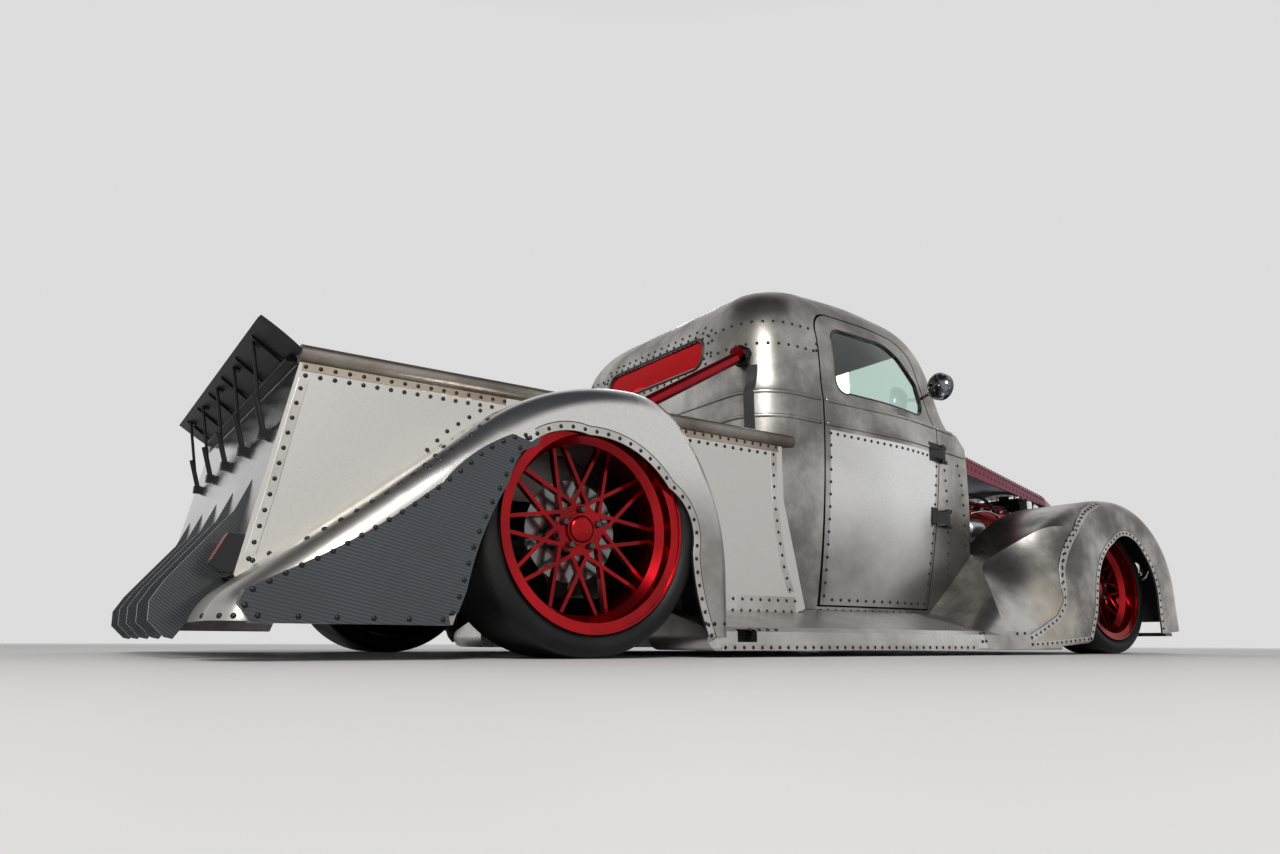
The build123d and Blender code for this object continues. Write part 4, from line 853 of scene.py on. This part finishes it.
# %% Carbon up to the arch
LAP, CLOTH = 9.0, 0.9872


def patch(front, back):
    """A thin sheet between two side view curves, P = (1 - t) B + t F, a hair outside the fender."""
    height = np.linspace(110, 585, 40)[:, None]
    back, front = (np.interp(height, curve[:, 1], curve[:, 0]) for curve in (back, front))
    t = np.linspace(0, 1, 5)
    x = frame_x((back - LAP) * (1 - t) + front * t)
    return np.stack([x, np.full(x.shape, -CLOTH), np.broadcast_to(height / 1000, x.shape)], -1)


skirt_edge = outline([(-430, 82), ((-340, 460), (-200, 560)), (-188, 592)])
arch_edge = REAR_ARCH[REAR_ARCH[:, 0] < -185][::-1]
sheet = patch(arch_edge, skirt_edge)
for side, flip in SIDES:
    make("carbon_patch_" + side, (sheet * flip, grid_faces(*sheet.shape[:2], wrap=False)), carbon)
row = spaced(beside(rear_half, -13), 42)
spots = np.stack([frame_x(row[:, 0]), np.full(len(row), -CLOTH), row[:, 1] / 1000], -1)
spots, faces = both(spots, np.tile(OUTWARD, (len(row), 1)))
make("rivets_cloth", lathes(spots, faces, DOME, DOME_SIDES), rivet_black)
print("carbon patches laid")

# %% [markdown]
# The mesh wheels are bolted through their hubs.  Five black nuts and a low red cap are turned pieces
# set by rays on the rim, so they seat on the plate at its true depth and spin with the wheel.  Reach
# is how far from the axle the nuts sit.

# %% Wheel nuts and caps
NUT = [(0.0115, -0.001), (0.0115, 0.011), (0.0085, 0.015), (0.0030, 0.0155), (0.0003, 0.0155)]
NUTS = 5
CAP = [(0.040, -0.001), (0.0395, 0.004), (0.033, 0.0085), (0.020, 0.0115), (0.0003, 0.0125)]
for end, (x, z), red, reach in (("rear", REAR, red_rear, 0.0575), ("front", FRONT, red_front, 0.0535)):
    rim_tree = skin_of(f"{end}_rim_right")
    turn = np.radians(90 + 360 / NUTS * np.arange(NUTS))
    at = np.stack([x + reach * np.cos(turn), np.full(NUTS, -OUTSIDE), z + reach * np.sin(turn)], -1)
    nut_spots = land(rim_tree, at, (0, 1, 0))[0]
    cap_spot = land(rim_tree, [(x, -OUTSIDE, z)], (0, 1, 0))[0]
    for side, flip in SIDES:
        wheel = f"{end}_wheel_{side}"
        make(f"nuts_{wheel}", lathes(nut_spots * flip, OUTWARD * flip, NUT, 6), black_gloss, body=wheel,
             smooth=False)
        make(f"cap_{wheel}", lathes(cap_spot * flip, OUTWARD * flip, CAP, 40), red, wheel)
print("nuts and caps on 4 wheels")

# %% [markdown]
# The bench is two padded cushions and two padded backs, stitched in upright channels.  Each is a
# closed form: a superellipse for a section, shrinking to rounded ends, with a narrow valley between
# channels and a soft crown on each.  They are modelled and not simulated, since a bench that nobody
# sits on keeps the shape it was stuffed to.

# %% Seats
def padded_slab(middle, along, half, width, channels):
    """A channelled pad across the seat, its middle, half lengths A and H and width in metres.

    Its section is |a / A|^4 + |h / H|^4 = 1, with a along the given way and h square to it.  Across
    the seat, at u from -1 to 1, the section shrinks by (1 - |u|^5)^(1/5), and its face dips by
    0.26 v, where v = (1 - |sin(pi k (u + 1) / 2)|)^2.5 is a valley at each of the k channels' edges.
    """
    rows, sides = 150, 56
    u = np.sin(np.linspace(-1, 1, rows) * np.pi / 2 * 0.985)[:, None]
    t = np.linspace(0, 2 * np.pi, sides, endpoint=False)[None, :]
    shrink = (1 - np.abs(u) ** 5) ** 0.2
    valley = (1 - np.abs(np.sin(np.pi * channels * (u + 1) / 2))) ** 2.5
    a = half[0] * np.sign(np.cos(t)) * np.abs(np.cos(t)) ** 0.5 * shrink * (1 - 0.05 * valley)
    h = half[1] * np.sign(np.sin(t)) * np.abs(np.sin(t)) ** 0.5 * shrink
    h = np.where(h > 0, h * (1 - 0.26 * valley), h)
    along = unit(np.array([along[0], 0.0, along[1]]))
    square = np.array([-along[2], 0.0, along[0]])
    points = np.array(middle) + a[..., None] * along + h[..., None] * square
    points[..., 1] += u * width / 2
    faces = [tuple(f) for f in grid_faces(rows, sides)[:, ::-1]]
    faces += [tuple(range(sides))[::-1], tuple(range((rows - 1) * sides, rows * sides))]
    return points.reshape(-1, 3), faces


PAD_WIDTH, PAD_MIDDLE, CHANNELS = 0.536, 0.29, 7
for part, (x, z), along, half in (("cushion", (1362, 0.470), (1.0, 0.045), (0.205, 0.072)),
                                  ("back", (1068, 0.700), (0.243, -0.970), (0.218, 0.056))):
    pads = [padded_slab((float(frame_x(x)), y, z), along, half, PAD_WIDTH, CHANNELS)
            for y in (-PAD_MIDDLE, PAD_MIDDLE)]
    pad = make("seat_" + part, joined(pads), seat_hide)
    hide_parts("seats")
base = [(1135, 246), (1545, 300), (1560, 392), (1120, 392)]
corners = np.array([[frame_x(x), y, z / 1000] for y in (-0.55, 0.55) for x, z in base], float)
walls = [(0, 1, 2, 3), (7, 6, 5, 4), (0, 4, 5, 1), (1, 5, 6, 2), (2, 6, 7, 3), (3, 7, 4, 0)]
make("seat_base", (corners, walls), black_satin, smooth=False)
print("seats padded")

# %% [markdown]
# The hood's flange is pierced by a row of holes, drawn as flat black discs of painted shade, and
# riveted above them.  Both rows follow the line where paint meets bare metal, which falls from the
# cowl to the nose, and they lift with the hood.

# %% Hood flange
HOOD_START, HOOD_HEIGHT = 2275, 909
HOLE_SHADE_DISC = [(0.0085, -0.0004), (0.0085, 0.0006), (0.0003, 0.0007)]


def flange_line(gap):
    """The ends of a side view line along the hood's paint line, a gap above it."""
    x = np.array([2300.0, 3255.0])
    return np.stack([x, HOOD_HEIGHT - HOOD_FALL * (x - HOOD_START) + gap], -1)


hood_tree = skin_of("hood_lid")
spots, faces = both(*stacked(on_side(hood_tree, spaced(flange_line(gap), 27)) for gap in (5, -14)))
small_dome = [(0.7 * r, 0.7 * h) for r, h in DOME]
make("rivets_hood", lathes(spots, faces, small_dome, DOME_SIDES), rivet_black, body="hood")
# Each hole is a flat black disc on the flange: painted shade for the dark opening.
spots, faces = both(*on_side(hood_tree, spaced(flange_line(-44), 46)))
make("hole_shade_discs_hood", lathes(spots, faces, HOLE_SHADE_DISC, 14), hose_rubber, body="hood")
print("hood flange", len(spots), "holes")

# %% [markdown]
# Through the open side one sees the engine: red covers with ribs and bolts, a belt round its pulleys,
# black hoses to the radiator and a few bright lines.  The block and the covers are the frame's.
# Bolts and ribs are laid on the covers by rays, and the rest is placed by measure around the block.

# %% Engine dressing
BOLT = [(0.0075, -0.001), (0.0075, 0.005), (0.006, 0.0065), (0.0003, 0.0065)]
cover_tree = skin_of("valve_covers")
bolt_at = [(x, y) for x in np.linspace(2575, 3005, 6) for y in (-352, -262)]
spots, faces = both(*on_top(cover_tree, bolt_at))
make("cover_bolts", lathes(spots, faces, BOLT, 6), chrome, smooth=False)
ribs = []
for y in (-330, -306, -282):
    ribs += carried_twice(*on_top(cover_tree, level(2590, 2990, y, 24)), BEAD)
make("cover_ribs", joined(ribs), red_paint)

PULLEY_X = float(frame_x(3092))
PULLEYS = [((0, 400), 78), ((0, 590), 58), ((-172, 560), 36), ((165, 520), 40)]
WHEEL = [(0.30, -0.012), (1.0, -0.012), (0.86, -0.004), (0.86, 0.004), (1.0, 0.012), (0.42, 0.012),
         (0.36, 0.018), (0.003, 0.018)]
turned = []
for (y, z), r in PULLEYS:
    profile = [(a * r / 1000, h) for a, h in WHEEL]
    turned.append(lathes([(PULLEY_X, y / 1000, z / 1000)], (1.0, 0, 0), profile, 36))
make("pulleys", joined(turned), alloy)


def belt_round(pulleys):
    """A closed loop round pulleys, 7 mm deep in their rims: the hull of many points in their grooves."""
    t = np.linspace(0, 2 * np.pi, 90, endpoint=False)
    rims = np.concatenate([np.stack([y + (r - 7) * np.cos(t), z + (r - 7) * np.sin(t)], -1)
                           for (y, z), r in pulleys])
    middle = rims.mean(0)
    ways = np.linspace(0, 2 * np.pi, 120, endpoint=False)
    reach = [(rims @ np.array([np.cos(w), np.sin(w)])).argmax() for w in ways]
    hull = rims[np.array(sorted(set(reach), key=lambda k: np.arctan2(*(rims[k] - middle)[::-1])))]
    return spaced(np.vstack([hull, hull[:1]]), 9)


loop = belt_round(PULLEYS)
path = np.stack([np.full(len(loop), PULLEY_X), loop[:, 0] / 1000, loop[:, 1] / 1000], -1)
flat = [(-0.010, -0.002), (-0.010, 0.002), (0.010, 0.002), (0.010, -0.002)]
make("belt", carried(path, path - path.mean(0), flat, ends=False), hose_rubber, smooth=False)

HOSES = [([(3050, -90, 700), (3100, -110, 745), (3150, -190, 790), (3190, -235, 800)], 17),
         ([(3060, 80, 470), (3110, 120, 440), (3150, 200, 400), (3190, 240, 380)], 17),
         ([(2560, -250, 785), (2640, -330, 800), (2760, -372, 770), (2860, -372, 690)], 8),
         ([(2540, -300, 640), (2600, -395, 600), (2700, -405, 560), (2800, -380, 520)], 10)]
LINES = [([(2600, -385, 690), (2700, -410, 705), (2820, -405, 680), (2900, -370, 620)], 5),
         ([(2330, -430, 800), (2480, -420, 812), (2600, -360, 800), (2700, -260, 790)], 5),
         ([(3020, -330, 610), (3090, -360, 640), (3140, -350, 700), (3185, -300, 760)], 6)]
for name, routes, finish, slot in (("hoses", HOSES, hose_rubber, "black_trim"),
                                   ("bright_lines", LINES, chrome, "chrome")):
    runs = [tube([(frame_x(x), y / 1000, z / 1000) for x, y, z in route], radius / 1000)
            for route, radius in routes]
    make(name, joined(runs), finish)
dynamo = [(0.010, -0.060), (0.052, -0.058), (0.056, -0.045), (0.056, 0.040), (0.048, 0.056), (0.003, 0.058)]
make("dynamo", lathes([(frame_x(2560), -0.400, 0.600)], (-1.0, 0, 0), dynamo, 36), alloy)
print("engine dressed")

# %% [markdown]
# Bright and dark small pieces finish the ends: a bowl and a rim for each headlamp, the glass of each
# mirror and a black strip on the cab's back under each brace, which is a painted shadow of the brace.
# The headlamp's bowl sits inside the frame's lens.  A flat lid closes the top of each wheel tub, level
# with the foot of the bed's rail.

# %% Lamps, mirrors and painted brace shadows
BOWL = [(0.012, -0.070), (0.050, -0.058), (0.074, -0.036), (0.084, -0.012)]
RIM = [(0.088, -0.030), (0.0975, -0.026), (0.0985, -0.006), (0.094, 0.002), (0.087, 0.002), (0.085, -0.004)]
place = [(frame_x(3470), y, 0.452) for y in (-0.742, 0.742)]
make("lamp_bowls", lathes(place, (1.0, 0, 0), BOWL, 40), chrome)
make("lamp_rims", lathes(place, (1.0, 0, 0), RIM, 48), chrome)

GLASS = [(0.053, -0.0005), (0.053, 0.0012), (0.0003, 0.0018)]
glass_spot = land(skin_of("mirror_right"), [(-BEHIND, -0.760, 1.150)], (1, 0, 0))[0]
for side, flip in SIDES:
    make("mirror_glass_" + side, lathes(glass_spot * flip, (-1.0, 0, 0), GLASS, 40), mirror_glass,
         "door_" + side)
# A black strip on the cab's back below each brace: a painted shadow of the brace.
BRACE_SHADOW = [(-0.021, -0.002), (-0.021, 0.004), (-0.017, 0.007), (0.017, 0.007), (0.021, 0.004), (0.021, -0.002)]
brace_shadow_line = np.stack([np.full(16, -626.0), np.linspace(1096, 800, 16)], -1)
brace_shadow_strips = carried_twice(*from_behind(cab_tree, brace_shadow_line), BRACE_SHADOW)
make("painted_brace_shadows", joined(brace_shadow_strips), black_satin, smooth=False)

LID = [(-0.0505, -0.0015), (-0.0505, 0.0), (0.0505, 0.0), (0.0505, -0.0015)]
lid_line = np.array([[frame_x(x), -0.6495, 0.7615] for x in (-128, 128)])
lids = carried_twice(lid_line, np.array([0.0, 0, 1]), LID)
make("tub_lids", joined(lids), inner_metal, smooth=False)
print("lamps, mirrors, straps and lids set")

# %% [markdown]
# The camera stands behind the truck's right corner at ankle height and looks slightly up, as in the
# photograph.  Its place and turn were solved from the wheels, so they are given as a position, three
# angles and a lens.

# %% Camera
EYE = (-2.5019, -3.0079, 0.0443)
TURN, PITCH, ROLL = (np.radians(a) for a in (34.784, 14.04, 0.233))
SENSOR, LENS = 36.0, 24.2156
ahead = np.array([np.sin(TURN) * np.cos(PITCH), np.cos(TURN) * np.cos(PITCH), np.sin(PITCH)])
right = np.array([np.cos(TURN), -np.sin(TURN), 0.0])
above = np.cross(right, ahead)
right, above = (np.cos(ROLL) * right + np.sin(ROLL) * above, np.cos(ROLL) * above - np.sin(ROLL) * right)
lens = bpy.data.cameras.new("camera")
lens.sensor_width, lens.lens = SENSOR, LENS
camera = placed("camera", lens)
camera.matrix_world = Matrix(np.stack([right, above, -ahead], -1).tolist()).to_4x4()
camera.matrix_world.translation = EYE
bpy.context.scene.camera = camera
print("camera at", EYE)

# %% [markdown]
# The floor is plain and pale, and the world is as pale up to the top of the picture.  Above that it
# falls to a dark ceiling: crowns reflect it, upright panels reflect the pale horizon, and so bare
# steel gets its range of tones.  Far out the floor takes on the backdrop's tone for the camera and
# for reflections and glass, so no dark horizon line shows.  REACH is half the floor's width.  One
# big soft lamp stands behind the right corner, and a weaker one fills the far side.

# %% Floor and world
def studio_floor(near, far, glow):
    """A matt floor that takes on the backdrop's tone between two distances, for rays that see it."""
    f = Finish("studio floor")
    drift = f.noise(0.7, 5, rough=0.7).between(0.5, 0.85)
    camera_ray, glossy_ray, glass_ray = (f.node("LightPath", out=f"Is {kind} Ray")
                                         for kind in ("Camera", "Glossy", "Transmission"))
    seen = camera_ray + glossy_ray + glass_ray
    away = ((f.x * f.x + f.y * f.y) ** 0.5).between(near, far) * seen.between(0.0, 1.0)
    return f.done(Base_Color=f.blend(drift * 0.35, (0.56, 0.56, 0.557), (0.53, 0.53, 0.527)),
                  Roughness=0.6 + drift * 0.14, Emission_Color=f.blend(away, (0, 0, 0), (glow, glow, glow)),
                  Emission_Strength=1.0, Normal=f.bump(f.noise(24, 3), 0.00002))


REACH = 30.0
floor_mesh = bpy.data.meshes.new("floor")
floor_mesh.from_pydata([(-REACH, -REACH, 0), (REACH, -REACH, 0), (REACH, REACH, 0), (-REACH, REACH, 0)], [],
                       [(0, 1, 2, 3)])
floor_mesh.materials.append(studio_floor(3.5, 16.0, 0.42))
floor = placed("floor", floor_mesh)

world = bpy.data.worlds.new("studio")
bpy.context.scene.world = world
studio = Finish("studio", world)
sky = studio.blend(studio.z.between(0.62, 0.90), (0.72, 0.72, 0.72), (0.05, 0.052, 0.06))
backdrop = studio.node("Background", None, {"Color": sky, "Strength": 1.0})
studio.node("OutputWorld", None, {"Surface": backdrop}, out=None)


def lamp(name, place, aim, size, power, tint):
    """A soft square lamp at a place, turned towards its aim."""
    light = bpy.data.lights.new(name, "AREA")
    light.shape, light.size, light.energy, light.color = "SQUARE", size, power, tint
    lamp_object = placed(name, light)
    lamp_object.location = place
    lamp_object.rotation_euler = (Vector(aim) - Vector(place)).to_track_quat("-Z", "Y").to_euler()


print("world", len(studio.tree.nodes), "nodes")
lamp("key", (-4.2, -5.6, 4.6), (0.2, 0, 0.6), 2.2, 400, (1.0, 0.985, 0.96))
lamp("fill", (4.5, 5.0, 4.0), (0, 0, 0.6), 3.0, 110, (0.96, 0.98, 1.0))
print("floor, world and lamps set")
